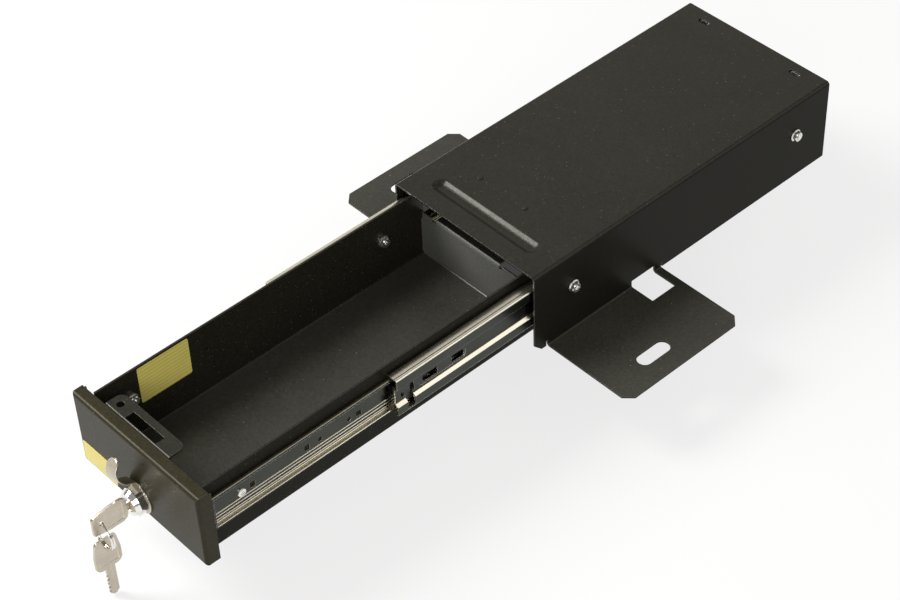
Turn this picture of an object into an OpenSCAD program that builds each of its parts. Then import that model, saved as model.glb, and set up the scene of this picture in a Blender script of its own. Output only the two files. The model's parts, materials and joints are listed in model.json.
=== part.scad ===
// Under-seat security drawer: a folded steel housing with two bolt-down flanges, and a lockable
// drawer that runs out of it on two full-extension ball slides. The drawer is modelled fully open.
// Sizes are in millimetres. X is the width, Y runs from the front to the back and Z is up.
// The origin is midway between the two mounting slots, on the underside of the flanges.

/* [Housing] */
// Outer width of the housing
housing_w = 147; // [140:0.5:160]
// Length of the housing from front to back
housing_l = 315.5; // [314:0.5:330]
// Height of the side walls, from their free edge to the top
housing_h = 73.1; // [73:0.1:85]
// Thickness of the folded sheet
sheet_t = 1.5; // [1.2:0.1:1.8]
// Outer radius of a sheet bend
bend_r = 3; // [2.5:0.25:4]
// Height of the side walls' free edges above the underside of the flanges
foot_gap = 1; // [0:0.25:2]
// Chamfer on the front bottom corner of each side wall
wall_chamfer = 7; // [3:0.5:10]

/* [Mounting flanges] */
// Reach of a flange beyond the side wall
flange_reach = 81.3; // [75:0.5:95]
// Length of a flange along the housing
flange_l = 118.3; // [112:0.5:130]
// Distance from the housing front to the flange
flange_front = 13.1; // [10:0.5:18]
// Chamfer on the outer corners of a flange
flange_chamfer = 7; // [3:0.5:12]
// Width of the mounting slot
slot_w = 12; // [9:0.5:13]
// Length of the mounting slot
slot_l = 30; // [20:0.5:34]
// Distance from the side wall to the middle of the slot
slot_out = 59.5; // [50:0.5:62]
// Distance from the flange's front edge to the middle of the slot
slot_back = 48.1; // [40:0.5:55]
// Length of the window cut across the flange bend
window_l = 24.2; // [15:0.5:26]
// Reach of the window beyond the side wall
window_w = 21.5; // [15:0.5:26]
// Height of the window in the side wall, above the flange
window_up = 5.5; // [3:0.5:8]
// Width of the strip left behind the window
window_strip = 7; // [5:0.5:10]

/* [Top groove and strike] */
// Length of the pressed groove across the top
groove_l = 107; // [90:1:115]
// Width of the groove
groove_w = 13; // [10:0.5:15]
// Depth of the groove
groove_d = 3; // [2:0.1:3.4]
// Distance from the housing front to the middle of the groove
groove_back = 22.3; // [20:0.1:26]
// Thickness of the slotted strike plate
strike_t = 1.5; // [1.2:0.1:1.8]
// Distance between the two strike rivets
strike_pitch = 47.2; // [40:0.2:60]
// Distance from the housing front to the strike rivets
strike_rivet_back = 48.5; // [47:0.5:60]
// Shift of the strike plate's middle from the centre plane
strike_x = -9.7; // [-14:0.1:-6]
// Diameter of a strike rivet's shank
rivet_d = 3.2; // [2.5:0.1:4]

/* [Rear baffle] */
// Distance from the housing's rear edge to the baffle
baffle_inset = 8.8; // [6:0.2:14]
// Distance from the centre plane to the middle of a baffle tab
baffle_tab_x = 47; // [35:0.5:50]
// Length of the tab slots
tab_slot_l = 10.5; // [8:0.5:14]
// Width of the tab slots
tab_slot_w = 4.8; // [3:0.1:6]

/* [Drawer] */
// Length of the tray from its front wall to its back wall
tray_l = 298.5; // [296:0.5:302]
// Height of the tray's side walls
tray_h = 62.4; // [56:0.1:63]
// Height of the tray's underside above the housing walls' free edges
tray_rise = 5.5; // [4:0.25:7]
// Height of the back wall above the tray floor
back_h = 40; // [30:0.5:41]
// Depth of the back wall's top lip
back_lip = 7; // [5:0.5:9]
// Distance that the drawer travels between closed and fully open
travel = 303.6; // [250:0.1:304]

/* [Front panel] */
// Gap between the closed panel and each housing wall
panel_side_gap = 3.5; // [2.5:0.25:5]
// Gap between the panel and the underside of the housing top
panel_top_gap = 0.9; // [0.6:0.1:1.5]
// Drop of the panel below the tray's underside
panel_drop = 0.8; // [0:0.1:2]
// Depth of the panel's side and bottom flanges
panel_depth = 11.8; // [10:0.1:13]
// Depth of the panel's top flange
panel_top_depth = 9.7; // [8:0.1:10]

/* [Latch guide] */
// Height of the guide's top face below the underside of the housing top
guide_drop = 7.1; // [6.8:0.1:9]
// Width of the guide
guide_w = 70; // [60:1:80]
// Shift of the guide's middle from the centre plane
guide_x = -14; // [-16:0.5:-12]
// Depth of the guide, front to back
guide_d = 16; // [14:0.5:18]
// Radius of the guide's rear corners
guide_r = 6; // [3:0.5:7]
// Length of the slot that the cam swings through
guide_slot_l = 34; // [33:0.5:40]
// Width of that slot
guide_slot_w = 7.8; // [6:0.1:9]
// Diameter of the small hole beside the slot
guide_hole_d = 6; // [3:0.5:7]

/* [Slides] */
// Thickness of a slide, from the drawer side to the housing wall
slide_t = 12; // [11.8:0.1:12.7]
// Height of the slides' centreline above the tray's underside
slide_rise = 37; // [35:0.5:38]
// Length of the cabinet members and drawer members
slide_l = 294; // [290:0.5:294]
// Height of the cabinet member
cabinet_h = 45; // [44:0.1:46]
// Height of the middle member
middle_h = 34.8; // [34:0.1:35.2]
// Height of the drawer member
drawer_member_h = 28; // [27.4:0.1:28.2]
// Thickness of the slide steel
slide_sheet = 1.1; // [0.9:0.05:1.2]
// Distance from the housing front to the cabinet members
cabinet_inset = 19.5; // [18:0.5:20.5]
// Travel of the middle members as a share of the drawer's travel
middle_share = 0.484; // [0.48:0.001:0.49]
// Number of balls in each row
row_balls = 6; // [4:1:8]

/* [Lock] */
// Position of the lock axis across the panel
lock_x = -1; // [-5:0.5:5]
// Height of the lock axis above the tray's underside
lock_rise = 13.5; // [13:0.25:15]
// Diameter of the lock head
head_d = 22.5; // [20:0.5:24]
// Length of the lock head in front of the pull plate
head_l = 9.3; // [7:0.1:12]
// Diameter of the lock barrel
barrel_d = 18; // [16:0.5:19]
// Diameter of the turning plug
plug_d = 11; // [10:0.25:12]
// Width of the cam
cam_w = 10; // [8:0.5:12]
// Thickness of the cam
cam_t = 2.5; // [2:0.1:3]
// Diameter of the pull plate's ring
pull_ring_d = 25.4; // [24.5:0.2:28]
// Distance from the lock axis to the tip of the pull ear
pull_reach = 37.4; // [35.5:0.1:41]
// Width of the pull ear
pull_w = 13; // [10:0.5:14]
// Length of the straight part between the ear's two bends
pull_rise = 2.7; // [1:0.1:4]
// Slope of that part against the panel, in degrees
pull_slope = 73; // [62:1:78]
// Angle at which the ear's tip leans back toward the panel, in degrees
pull_nod = 37; // [28:1:42]
// Lean of the ear from upright, in degrees
pull_lean = 19; // [0:1:30]

/* [Keys] */
// Thickness of a key
key_t = 2; // [1.6:0.1:2.4]
// Length of a key's bow
bow_l = 28.5; // [26:0.5:30]
// Width of a key's bow
bow_w = 21.5; // [19:0.5:22]
// Width of a key's blade
blade_w = 7.5; // [6:0.25:8]
// Length of a key's blade
blade_l = 27.5; // [24:0.5:28]
// Distance from the bow's end to the middle of its hole
key_hole_in = 7.2; // [6:0.1:8]
// Diameter of the hole in a key's bow
key_hole_d = 4; // [3.5:0.25:5]
// Middle diameter of the key ring
ring_d = 23; // [22:0.5:26]
// Thickness of the key ring's wire
ring_wire = 1.6; // [1.2:0.1:2]

/* [Fasteners] */
// Diameter of the slide screws
screw_d = 4; // [3:0.1:4.2]
// Distance from a cabinet member's front to its front screw
cabinet_screw_front = 19.2; // [16:0.2:24]
// Distance from a cabinet member's back to its rear screw
cabinet_screw_back = 35; // [30:0.5:60]
// Distance from a drawer member's front to its front screw
drawer_screw_front = 25.5; // [22:0.5:30]
// Distance from a drawer member's back to its rear screw
drawer_screw_back = 38; // [30:0.5:60]
// Diameter of a flange nut's flange
nut_flange_d = 10; // [9:0.25:11]
// Width of a flange nut across its flats
nut_flats = 7.5; // [7:0.25:8]
// Height of a flange nut
nut_h = 4.2; // [3.5:0.1:5]

/* [Labels] */
// Thickness of a blank label
label_t = 0.3; // [0.2:0.05:0.5]
// Length of the label on the tray's left wall
inner_label_l = 44; // [30:1:60]
// Height of the label on the tray's left wall
inner_label_h = 33; // [20:1:40]
// Length of the label on the front panel
front_label_l = 37; // [30:1:40]
// Height of the label on the front panel
front_label_h = 18.5; // [12:0.5:22]

/* [Hidden] */
$fn = 64;

// Amount that a cutting shape runs past the face it cuts
past = 1;
// Clearance between pieces that are assembled side by side
fit_gap = 0.2;
// Radial clearance of a screw, stud or plug in its hole
running_gap = 0.05;

// Housing levels and lines
half_w = housing_w / 2;
wall_in = half_w - sheet_t;
top_z = foot_gap + housing_h;
ceiling_z = top_z - sheet_t;
front_y = -(flange_front + slot_back);
rear_y = front_y + housing_l;
flange_y = front_y + flange_front;
inner_bend = bend_r - sheet_t;
// Reliefs beside the flange bend
relief_w = 1.5;
relief_up = 3;

// The pressed groove is an arc of this radius, sunk into the top
groove_r = (groove_w * groove_w / 4 + groove_d * groove_d) / (2 * groove_d);
groove_y = front_y + groove_back;
groove_axis_z = top_z - groove_d + groove_r;
groove_under_z = ceiling_z - groove_d;

// Drawer levels
drawer_w = housing_w - 2 * sheet_t - 2 * slide_t;
half_tray = drawer_w / 2;
tray_in = half_tray - sheet_t;
tray_z = foot_gap + tray_rise;
floor_z = tray_z + sheet_t;
back_z = floor_z + back_h;
slide_z = tray_z + slide_rise;
lock_z = tray_z + lock_rise;
panel_half = wall_in - panel_side_gap;
panel_top = ceiling_z - panel_top_gap;
panel_bottom = tray_z - panel_drop;
guide_z = ceiling_z - guide_drop;

// The closed drawer stops with its top flange just short of the groove's underside
stop_gap = 0.1;
stop_half = sqrt(pow(groove_r + sheet_t, 2) - pow(groove_axis_z - panel_top, 2));
panel_closed_y = groove_y - stop_half - panel_top_depth - stop_gap;
panel_y = panel_closed_y - travel;
tray_gap = 0.4;
tray_y = panel_y + panel_depth + tray_gap;
tray_back = tray_y + tray_l;

// Baffle: its edges, and its tabs in the slots of the housing top
baffle_half = tray_in - 2.5;
baffle_y = rear_y - baffle_inset - sheet_t;
baffle_z = back_z + 2.5;
baffle_tab_w = tab_slot_l - tab_slot_w - 2 * fit_gap;
tab_slot_y = baffle_y + sheet_t + fit_gap - tab_slot_w / 2;

// Slide positions along the housing, at rest with the drawer open
buffer_l = 4;
buffer_half = middle_h / 2 - 1;
member_setback = 2;
drawer_member_y = tray_y + member_setback;
cabinet_y = front_y + cabinet_inset;
middle_y = cabinet_y - middle_share * travel;
middle_l = slide_l - buffer_l - fit_gap;
cage_end = 12;
outer_cage_y = cabinet_y + cage_end;
outer_cage_l = 118;
inner_cage_y = middle_y + cage_end;
inner_cage_l = 108;
cage_t = 1;
cage_rim = 0.5;
cage_play = 0.12;
ball_inset = 8;

// Slide section: distances out from the tray wall, and heights from the centreline
cabinet_lip = 2.6;
middle_lip = 1.3;
middle_out = slide_t - slide_sheet - 0.3;
web_out = 8;
web_half = 6.5;
web_slope = 2;
drawer_lip = 5;
section_r = 2;
outer_ball_r = 2.2;
outer_ball_out = 7;
outer_ball_rise = (middle_h + cabinet_h - 2 * slide_sheet) / 4;
inner_ball_r = 1.4;
inner_ball_out = 4;
inner_ball_rise = (drawer_member_h + middle_h - 2 * slide_sheet) / 4;
race_play = 0.05;

// Middle member: a shallow obround with two windows, and a stepped opening by its front end
pocket_y = 21;
pocket_l = 45;
pocket_h = 9;
pocket_d = 0.4;
window_spans = [[pocket_y + 4.5, 14], [pocket_y + 32, pocket_l - pocket_h / 2 - 32]];
window_h = 6;
// Each step of the opening: near and far end, then lower and upper edge
stepped_cuts = [[10.5, 17, -3, 4.5], [5, 17.5, -3.5, 1], [9, 16, -15, -3]];

// Drawer member: ribs below its centreline, and punched holes along it
rib_drops = [5, 8, 11];
rib_r = 0.6;
punch_ys = [33, 80, 126];
punch_w = 4.5;
punch_h = 5;
round_punch_ys = [94, 119.7];
round_punch_r = 1.9;
lever_y = 158.5;
lever_l = 30;
lever_h = 8.4;
lever_t = 3.5;
lever_hook_y = 164.5;
lever_hook_l = 6.5;
lever_hook_t = 1.6;
lever_hook = 12;

// Small spare holes in the tray sides
spare_hole_ys = [93.2, 211, 242.5];
spare_hole_rise = 2;
spare_hole_r = 1.5;

// Lip of the back wall
back_lip_start = -44;
back_lip_l = 68;
back_relief = 4;

// Screws, studs, nuts and rivets
head_h = 2;
head_r = 3.5;
nut_flange_h = 1;
tail_over = 1.2;
stud_d = 5;
stud_x = 46;
stud_rises = [16, 46];
stud_collar_r = 4.5;
stud_nut_flats = 8;
stud_over = 0.3;
rivet_y = front_y + strike_rivet_back;
rivet_head_r = 2.5;
rivet_head_h = 0.9;
rivet_dome_r = (rivet_head_r * rivet_head_r + rivet_head_h * rivet_head_h) / (2 * rivet_head_h);

// Lock and cam, measured along Y from the panel face
pull_t = 1.2;
nut_t = 3;
guide_back = panel_depth + tray_gap + sheet_t;
cam_front = guide_back + nut_t + 0.65;
barrel_end = cam_front - fit_gap;
cam_y = panel_y + cam_front;
cam_closed_y = panel_closed_y + cam_front;
cam_hub_r = 8;
tail_w = 6;
key_head_y = panel_y - pull_t - head_l;
head_bevel = 3.5;
head_flats = head_d - 1.5;
head_face_r = head_flats / 2 - 2;
lock_nut_flats = barrel_d + 4;
plug_y = key_head_y + 0.3;
seam_w = 0.4;

// Points on an arc about a centre, between two angles
function arc(centre, r, from, to, steps) =
  [for (i = [0:steps]) centre + r * [cos(from + (to - from) * i / steps), sin(from + (to - from) * i / steps)]];

// Pull plate: half outline from the ring's far side to the ear's tip, with a blend between them
pull_blend = 9;
pull_blend_x = sqrt(pow(pull_ring_d / 2 + pull_blend, 2) - pow(pull_w / 2 + pull_blend, 2));
pull_blend_turn = atan2(pull_w / 2 + pull_blend, pull_blend_x);
pull_points = [
  each arc([0, 0], pull_ring_d / 2, 180, pull_blend_turn, 14),
  each arc([pull_blend_x, pull_w / 2 + pull_blend], pull_blend, 180 + pull_blend_turn, 270, 5),
  // The tip is round on its own slope, so its outline is drawn together lengthwise
  for (a = [90:-7.5:0])
    [pull_reach - (1 - cos(a)) * pull_w / 2 * cos(pull_nod), pull_w / 2 * sin(a)]
];
// Its profile: flat under the lock head, out along a steep slope, and over to a tip that leans back
pull_start = head_d / 2 + 0.3;
pull_r1 = 4.6;
pull_r2 = 8.7;
pull_tip = [cos(pull_nod), -sin(pull_nod)];
pull_c1 = [pull_start, pull_t + pull_r1];
pull_c2 = pull_c1 + (pull_r1 + pull_t + pull_r2) * [sin(pull_slope), -cos(pull_slope)]
  + pull_rise * [cos(pull_slope), sin(pull_slope)];
pull_profile = [
  [-pull_ring_d, 0],
  each arc(pull_c1, pull_r1 + pull_t, -90, pull_slope - 90, 8),
  each arc(pull_c2, pull_r2, pull_slope + 90, 90 - pull_nod, 14),
  pull_c2 + pull_r2 * [sin(pull_nod), cos(pull_nod)] + 1.5 * pull_w * pull_tip,
  pull_c2 + (pull_r2 + pull_t) * [sin(pull_nod), cos(pull_nod)] + 1.5 * pull_w * pull_tip,
  each arc(pull_c2, pull_r2 + pull_t, 90 - pull_nod, pull_slope + 90, 14),
  each arc(pull_c1, pull_r1, pull_slope - 90, -90, 8),
  [-pull_ring_d, pull_t]
];

// Strike plate: a front pad under the groove, a riser, and a rear pad at the rivets
strike_z = groove_under_z - 0.7 - strike_t;
strike_slot_play = 1;
strike_slot_l = 18;
strike_front = 3;
strike_pad = 8;
strike_y = cam_closed_y - strike_slot_play - strike_front;
strike_riser_y = rivet_y - strike_pad - strike_t;
strike_w = strike_pitch + 19;
cam_l = strike_z + strike_t + 0.5 - lock_z;

// Latch guide
guide_shoulder = 4;
guide_slot_x = lock_x + cam_w / 2 + strike_slot_play;
guide_hole_in = 8;

// Keys and their ring
bow_gap = 1.5;
bow_y = key_head_y - bow_gap;
key_hole_y = bow_y - bow_l + key_hole_in;
ring_z = lock_z - ring_d / 2;
spare_hole_z = lock_z - ring_d;
// Half outline of a key, from the bow's far end to the blade's tip
key_points = [
  [-bow_l, bow_w / 2 - 3.5],
  [-bow_l + 1.5, bow_w / 2 - 2],
  [-bow_l / 2, bow_w / 2],
  [-4, bow_w / 2],
  [-1, bow_w / 2 - 2],
  [0, bow_w / 2 - 4.5],
  [0, blade_w / 2],
  [blade_l - 2.5, blade_w / 2],
  [blade_l, blade_w / 2 - 2.5]
];
bow_panel_near = 4;
bow_panel_l = bow_l - key_hole_in - key_hole_d / 2 - bow_panel_near - 2;
bow_panel_w = bow_w - 6;
bow_panel_d = 0.25;
blade_groove_w = 1.2;
blade_groove_d = 0.4;
bitting = [1.6, 2.4, 1.2, 2, 1.6];
bitting_start = 7;
bitting_pitch = 4;
ring_groove_r = 0.2;

// Plug: keyway, wafer slots, and the bore for the cam screw
keyway_play = 0.2;
keyway_l = bow_y + blade_l + fit_gap - plug_y;
cam_screw_l = cam_y + cam_t - plug_y - keyway_l - 1;
cam_screw_r = 2;
cam_screw_head_r = 3.8;
cam_screw_head_h = 2;
wafer_w = 6;
wafer_h = 9.2;
wafer_t = 0.6;
wafer_play = 0.1;
wafer_ys = [for (i = [0:4]) plug_y + 5 + i * 3.5];

// Places of the two labels
label_edge = 0.3;
inner_label_front = 34.8;
inner_label_drop = 1.9;

// Colours
black = [0.13, 0.13, 0.12];
zinc = [0.72, 0.71, 0.64];
nickel = [0.66, 0.61, 0.52];
chrome = [0.85, 0.85, 0.85];
yellow = [0.93, 0.83, 0.30];

// A profile drawn in X and Z, pushed back along Y
module run_y(y, length)
  translate([0, y + length, 0])
    rotate([90, 0, 0])
      linear_extrude(length)
        children();

// A profile drawn in Y and Z, pushed along X
module run_x(x, length)
  translate([x, 0, 0])
    rotate([90, 0, 90])
      linear_extrude(length)
        children();

// A cylinder along Y
module rod_y(y, length, r)
  translate([0, y, 0])
    rotate([-90, 0, 0])
      cylinder(h = length, r = r);

// A cylinder that runs outward along X from the given distance
module rod_x(x, length, r)
  translate([x, 0, 0])
    rotate([0, 90, 0])
      cylinder(h = length, r = r);

// A rectangle between two corners
module rect(a, b)
  translate(a)
    square(b - a);

// A rectangle between two corners with four round corners
module round_rect(a, b, r) {
  rect([a[0] + r, a[1]], [b[0] - r, b[1]]);
  rect([a[0], a[1] + r], [b[0], b[1] - r]);
  for (x = [a[0] + r, b[0] - r], z = [a[1] + r, b[1] - r])
    translate([x, z])
      circle(r);
}

// A rectangle with its two upper corners round, standing on z
module arch(half, z, top, r) {
  rect([-half, z], [half, top - r]);
  rect([-half + r, z], [half - r, top]);
  for (side = [-1, 1])
    translate([side * (half - r), top - r])
      circle(r);
}

// A slot with round ends along X, centred on the origin
module stadium(length, width) {
  square([length - width, width], center = true);
  for (side = [-1, 1])
    translate([side * (length - width) / 2, 0])
      circle(width / 2);
}

// A hexagonal prism along Z with a bore, given its width across flats
module hex_nut(flats, height, bore)
  difference() {
    cylinder(h = height, r = flats / sqrt(3), $fn = 6);
    translate([0, 0, -past])
      cylinder(h = height + 2 * past, d = bore);
  }

// Both sides of the object, the right one as drawn
module both_sides()
  for (side = [0, 1])
    mirror([side, 0, 0])
      children();

// A part of the slide section, drawn from the tray wall outward and from the centreline up
module slide_place()
  translate([half_tray, 0, slide_z])
    children();

// The groove's round body, with its ends rounded in plan
module groove_body(r)
  translate([0, groove_y, groove_axis_z]) {
    rotate([0, 90, 0])
      cylinder(h = groove_l - groove_w, r = r, center = true);
    for (side = [-1, 1])
      translate([side * (groove_l - groove_w) / 2, 0, 0])
        sphere(r);
  }

// Section of the right-hand flange with its bend, from the side wall's outer face
module flange_section() {
  difference() {
    intersection() {
      translate([inner_bend, bend_r])
        circle(bend_r);
      rect([-sheet_t, 0], [inner_bend, bend_r]);
    }
    translate([inner_bend, bend_r])
      circle(inner_bend);
  }
  rect([inner_bend, 0], [flange_reach, sheet_t]);
}

module flange() {
  outer = half_w + flange_reach;
  difference() {
    translate([half_w, 0, 0])
      run_y(flange_y, flange_l)
        flange_section();
    for (y = [flange_y, flange_y + flange_l])
      translate([outer, y, 0])
        rotate([0, 0, 45])
          cube([flange_chamfer * sqrt(2), flange_chamfer * sqrt(2), 4 * sheet_t], center = true);
    translate([half_w + slot_out, flange_y + slot_back, -past])
      rotate([0, 0, 90])
        linear_extrude(sheet_t + 2 * past)
          stadium(slot_l, slot_w);
  }
}

// Window across the flange bend, cut into the flange and the foot of the side wall
module bend_window()
  translate([wall_in - past, flange_y + flange_l - window_strip - window_l, -past])
    cube([sheet_t + window_w + past, window_l, sheet_t + window_up + past]);

// Screw positions along Y
function cabinet_screw_ys() =
  [cabinet_y + cabinet_screw_front, cabinet_y + slide_l - cabinet_screw_back];
function drawer_screw_ys() =
  [drawer_member_y + drawer_screw_front, drawer_member_y + slide_l - drawer_screw_back];

// Ball positions along Y in a cage
function ball_ys(y, length) =
  [for (i = [0:row_balls - 1]) y + ball_inset + i * (length - 2 * ball_inset) / (row_balls - 1)];

// Chamfer, flange gap and bend reliefs of the right-hand wall
module wall_cuts() {
  translate([wall_in + sheet_t / 2, front_y, foot_gap])
    rotate([45, 0, 0])
      cube([sheet_t + 2 * past, wall_chamfer * sqrt(2), wall_chamfer * sqrt(2)], center = true);
  translate([wall_in - past, flange_y, -past])
    cube([sheet_t + 2 * past, flange_l, bend_r + past]);
  for (y = [flange_y - relief_w, flange_y + flange_l])
    translate([wall_in - past, y, -past])
      cube([sheet_t + 2 * past, relief_w, bend_r + relief_up + past]);
}

// Slots in the top for the baffle's tabs, and holes for the strike rivets
module top_cuts() {
  for (side = [-1, 1]) {
    translate([side * baffle_tab_x, tab_slot_y, ceiling_z - past])
      linear_extrude(sheet_t + 2 * past)
        stadium(tab_slot_l, tab_slot_w);
    translate([strike_x + side * strike_pitch / 2, rivet_y, ceiling_z - past])
      cylinder(h = sheet_t + 2 * past, d = rivet_d + 2 * running_gap);
  }
}

// Top and side walls with the groove pressed into the top
module folded_wall()
  difference() {
    union() {
      run_y(front_y, housing_l)
        difference() {
          arch(half_w, foot_gap, top_z, bend_r);
          arch(wall_in, foot_gap - past, ceiling_z, inner_bend);
        }
      intersection() {
        groove_body(groove_r + sheet_t);
        translate([-wall_in + inner_bend, front_y, groove_under_z])
          cube([2 * (wall_in - inner_bend), housing_l, groove_d + sheet_t / 2]);
      }
    }
    groove_body(groove_r);
    both_sides()
      wall_cuts();
  }

module housing_shell()
  color(black)
    difference() {
      union() {
        folded_wall();
        both_sides()
          flange();
      }
      both_sides() {
        bend_window();
        slide_place()
          for (y = cabinet_screw_ys())
            translate([0, y, 0])
              rod_x(slide_t - past, sheet_t + 2 * past, screw_d / 2 + running_gap);
      }
      top_cuts();
    }

module rear_baffle()
  color(black) {
    translate([-baffle_half, baffle_y, baffle_z])
      cube([2 * baffle_half, sheet_t, ceiling_z - baffle_z]);
    for (side = [-1, 1])
      translate([side * baffle_tab_x - baffle_tab_w / 2, baffle_y, ceiling_z - past])
        cube([baffle_tab_w, sheet_t, sheet_t + past]);
  }

module strike_plate()
  color(zinc)
    difference() {
      run_x(strike_x - strike_w / 2, strike_w) {
        rect([strike_y, strike_z], [strike_riser_y + strike_t, strike_z + strike_t]);
        rect([strike_riser_y, strike_z], [strike_riser_y + strike_t, ceiling_z]);
        rect([strike_riser_y, ceiling_z - strike_t], [rivet_y + strike_pad, ceiling_z]);
      }
      translate([lock_x - strike_slot_l, cam_closed_y - strike_slot_play, strike_z - past])
        cube([
          strike_slot_l + cam_w / 2 + strike_slot_play,
          cam_t + 2 * strike_slot_play,
          strike_t + 2 * past
        ]);
      for (side = [-1, 1])
        translate([strike_x + side * strike_pitch / 2, rivet_y, ceiling_z - strike_t - past])
          cylinder(h = strike_t + 2 * past, d = rivet_d + 2 * running_gap);
    }

module strike_rivets()
  color(black)
    for (side = [-1, 1])
      translate([strike_x + side * strike_pitch / 2, rivet_y, 0]) {
        translate([0, 0, ceiling_z - strike_t - rivet_head_h])
          cylinder(h = sheet_t + strike_t + 2 * rivet_head_h, d = rivet_d);
        translate([0, 0, ceiling_z - strike_t - rivet_head_h])
          cylinder(h = rivet_head_h, r = rivet_head_r);
        intersection() {
          translate([0, 0, top_z + rivet_head_h - rivet_dome_r])
            sphere(rivet_dome_r);
          translate([0, 0, top_z])
            cylinder(h = rivet_head_h + past, r = rivet_head_r + past);
        }
      }

// Section of the outermost slide member, fixed to the housing wall
module cabinet_section()
  difference() {
    round_rect([0, -cabinet_h / 2], [slide_t, cabinet_h / 2], section_r);
    round_rect(
      [-section_r, slide_sheet - cabinet_h / 2],
      [slide_t - slide_sheet, cabinet_h / 2 - slide_sheet],
      section_r - slide_sheet
    );
    rect([-past, -cabinet_h], [cabinet_lip, cabinet_h]);
    for (side = [-1, 1])
      translate([outer_ball_out, side * outer_ball_rise])
        circle(outer_ball_r + race_play);
  }

module cabinet_member()
  color(zinc)
    slide_place()
      difference() {
        run_y(cabinet_y, slide_l)
          cabinet_section();
        for (y = cabinet_screw_ys())
          translate([0, y, 0])
            rod_x(slide_t - slide_sheet - past, slide_sheet + 2 * past, screw_d / 2 + running_gap);
      }

module slide_buffers()
  color("dimgray")
    both_sides()
      slide_place()
        translate([web_out + past, cabinet_y + slide_l - buffer_l, -buffer_half])
          cube([slide_t - slide_sheet - web_out - past, buffer_l, 2 * buffer_half]);

module housing_screws()
  color(zinc)
    both_sides()
      slide_place()
        for (y = cabinet_screw_ys())
          translate([0, y, 0]) {
            rod_x(slide_t - slide_sheet - head_h, head_h, head_r);
            rod_x(
              slide_t - slide_sheet - head_h,
              head_h + slide_sheet + sheet_t + nut_h + tail_over,
              screw_d / 2
            );
          }

// A flange nut whose seat is at the origin and which stands along X
module flange_nut()
  rotate([0, 90, 0])
    difference() {
      union() {
        cylinder(h = nut_flange_h, d = nut_flange_d);
        hex_nut(nut_flats, nut_h, screw_d - past);
      }
      translate([0, 0, -past])
        cylinder(h = nut_h + 2 * past, r = screw_d / 2 + running_gap);
    }

module housing_nuts()
  color(zinc)
    both_sides()
      slide_place()
        for (y = cabinet_screw_ys())
          translate([slide_t + sheet_t, y, 0])
            flange_nut();

// Two flat strips that space the balls of one raceway pair
module cage(y, length, out, rise, ball_r)
  color(zinc)
    slide_place()
      for (side = [-1, 1])
        translate([out, 0, side * rise])
          difference() {
            translate([-ball_r - cage_rim, y, -cage_t / 2])
              cube([2 * (ball_r + cage_rim), length, cage_t]);
            for (ball_y = ball_ys(y, length))
              translate([0, ball_y, -cage_t])
                cylinder(h = 2 * cage_t, r = ball_r + cage_play);
          }

// The balls of one raceway pair
module balls(y, length, out, rise, ball_r)
  color(chrome)
    slide_place()
      for (side = [-1, 1])
        for (ball_y = ball_ys(y, length))
          translate([out, ball_y, side * rise])
            sphere(ball_r);

module outer_cage()
  cage(outer_cage_y, outer_cage_l, outer_ball_out, outer_ball_rise, outer_ball_r);

module outer_balls()
  balls(outer_cage_y, outer_cage_l, outer_ball_out, outer_ball_rise, outer_ball_r);

module inner_cage()
  cage(inner_cage_y, inner_cage_l, inner_ball_out, inner_ball_rise, inner_ball_r);

module inner_balls()
  balls(inner_cage_y, inner_cage_l, inner_ball_out, inner_ball_rise, inner_ball_r);

// A recess that opens outward with sloping sides, from a bottom of the given half height
module sloped_recess(bottom, half)
  polygon([
    [bottom, -half],
    [bottom, half],
    [middle_out + past, half + web_slope * (middle_out + past - bottom) / (middle_out - web_out)],
    [middle_out + past, -half - web_slope * (middle_out + past - bottom) / (middle_out - web_out)]
  ]);

// Section of the middle slide member: two raceway bands joined by a web set back between them
module middle_section()
  difference() {
    round_rect([-section_r, -middle_h / 2], [middle_out, middle_h / 2], section_r);
    sloped_recess(web_out, web_half);
    difference() {
      round_rect(
        [-2 * section_r, slide_sheet - middle_h / 2],
        [middle_out - slide_sheet, middle_h / 2 - slide_sheet],
        section_r - slide_sheet
      );
      sloped_recess(web_out - slide_sheet, web_half + slide_sheet / 2);
    }
    rect([-3 * section_r, -middle_h], [middle_lip, middle_h]);
    for (side = [-1, 1]) {
      translate([outer_ball_out, side * outer_ball_rise])
        circle(outer_ball_r + race_play);
      translate([inner_ball_out, side * inner_ball_rise])
        circle(inner_ball_r + race_play);
    }
  }

// Cut-outs of the middle member: a shallow obround with two windows, and a stepped opening
module middle_cuts()
  translate([0, middle_y, 0]) {
    translate([web_out - pocket_d, pocket_y + pocket_l / 2, 0])
      rotate([90, 0, 90])
        linear_extrude(past)
          stadium(pocket_l, pocket_h);
    for (span = window_spans)
      translate([web_out - 2 * slide_sheet, span[0], -window_h / 2])
        cube([3 * slide_sheet, span[1], window_h]);
    translate([0, pocket_y + pocket_l - pocket_h / 2, 0])
      rod_x(web_out - 2 * slide_sheet, 3 * slide_sheet, window_h / 2);
    for (step = stepped_cuts)
      translate([web_out - 2 * slide_sheet, step[0], step[2]])
        cube([middle_out, step[1] - step[0], step[3] - step[2]]);
  }

module middle_member()
  color(zinc)
    slide_place()
      difference() {
        run_y(middle_y, middle_l)
          middle_section();
        middle_cuts();
      }

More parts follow.
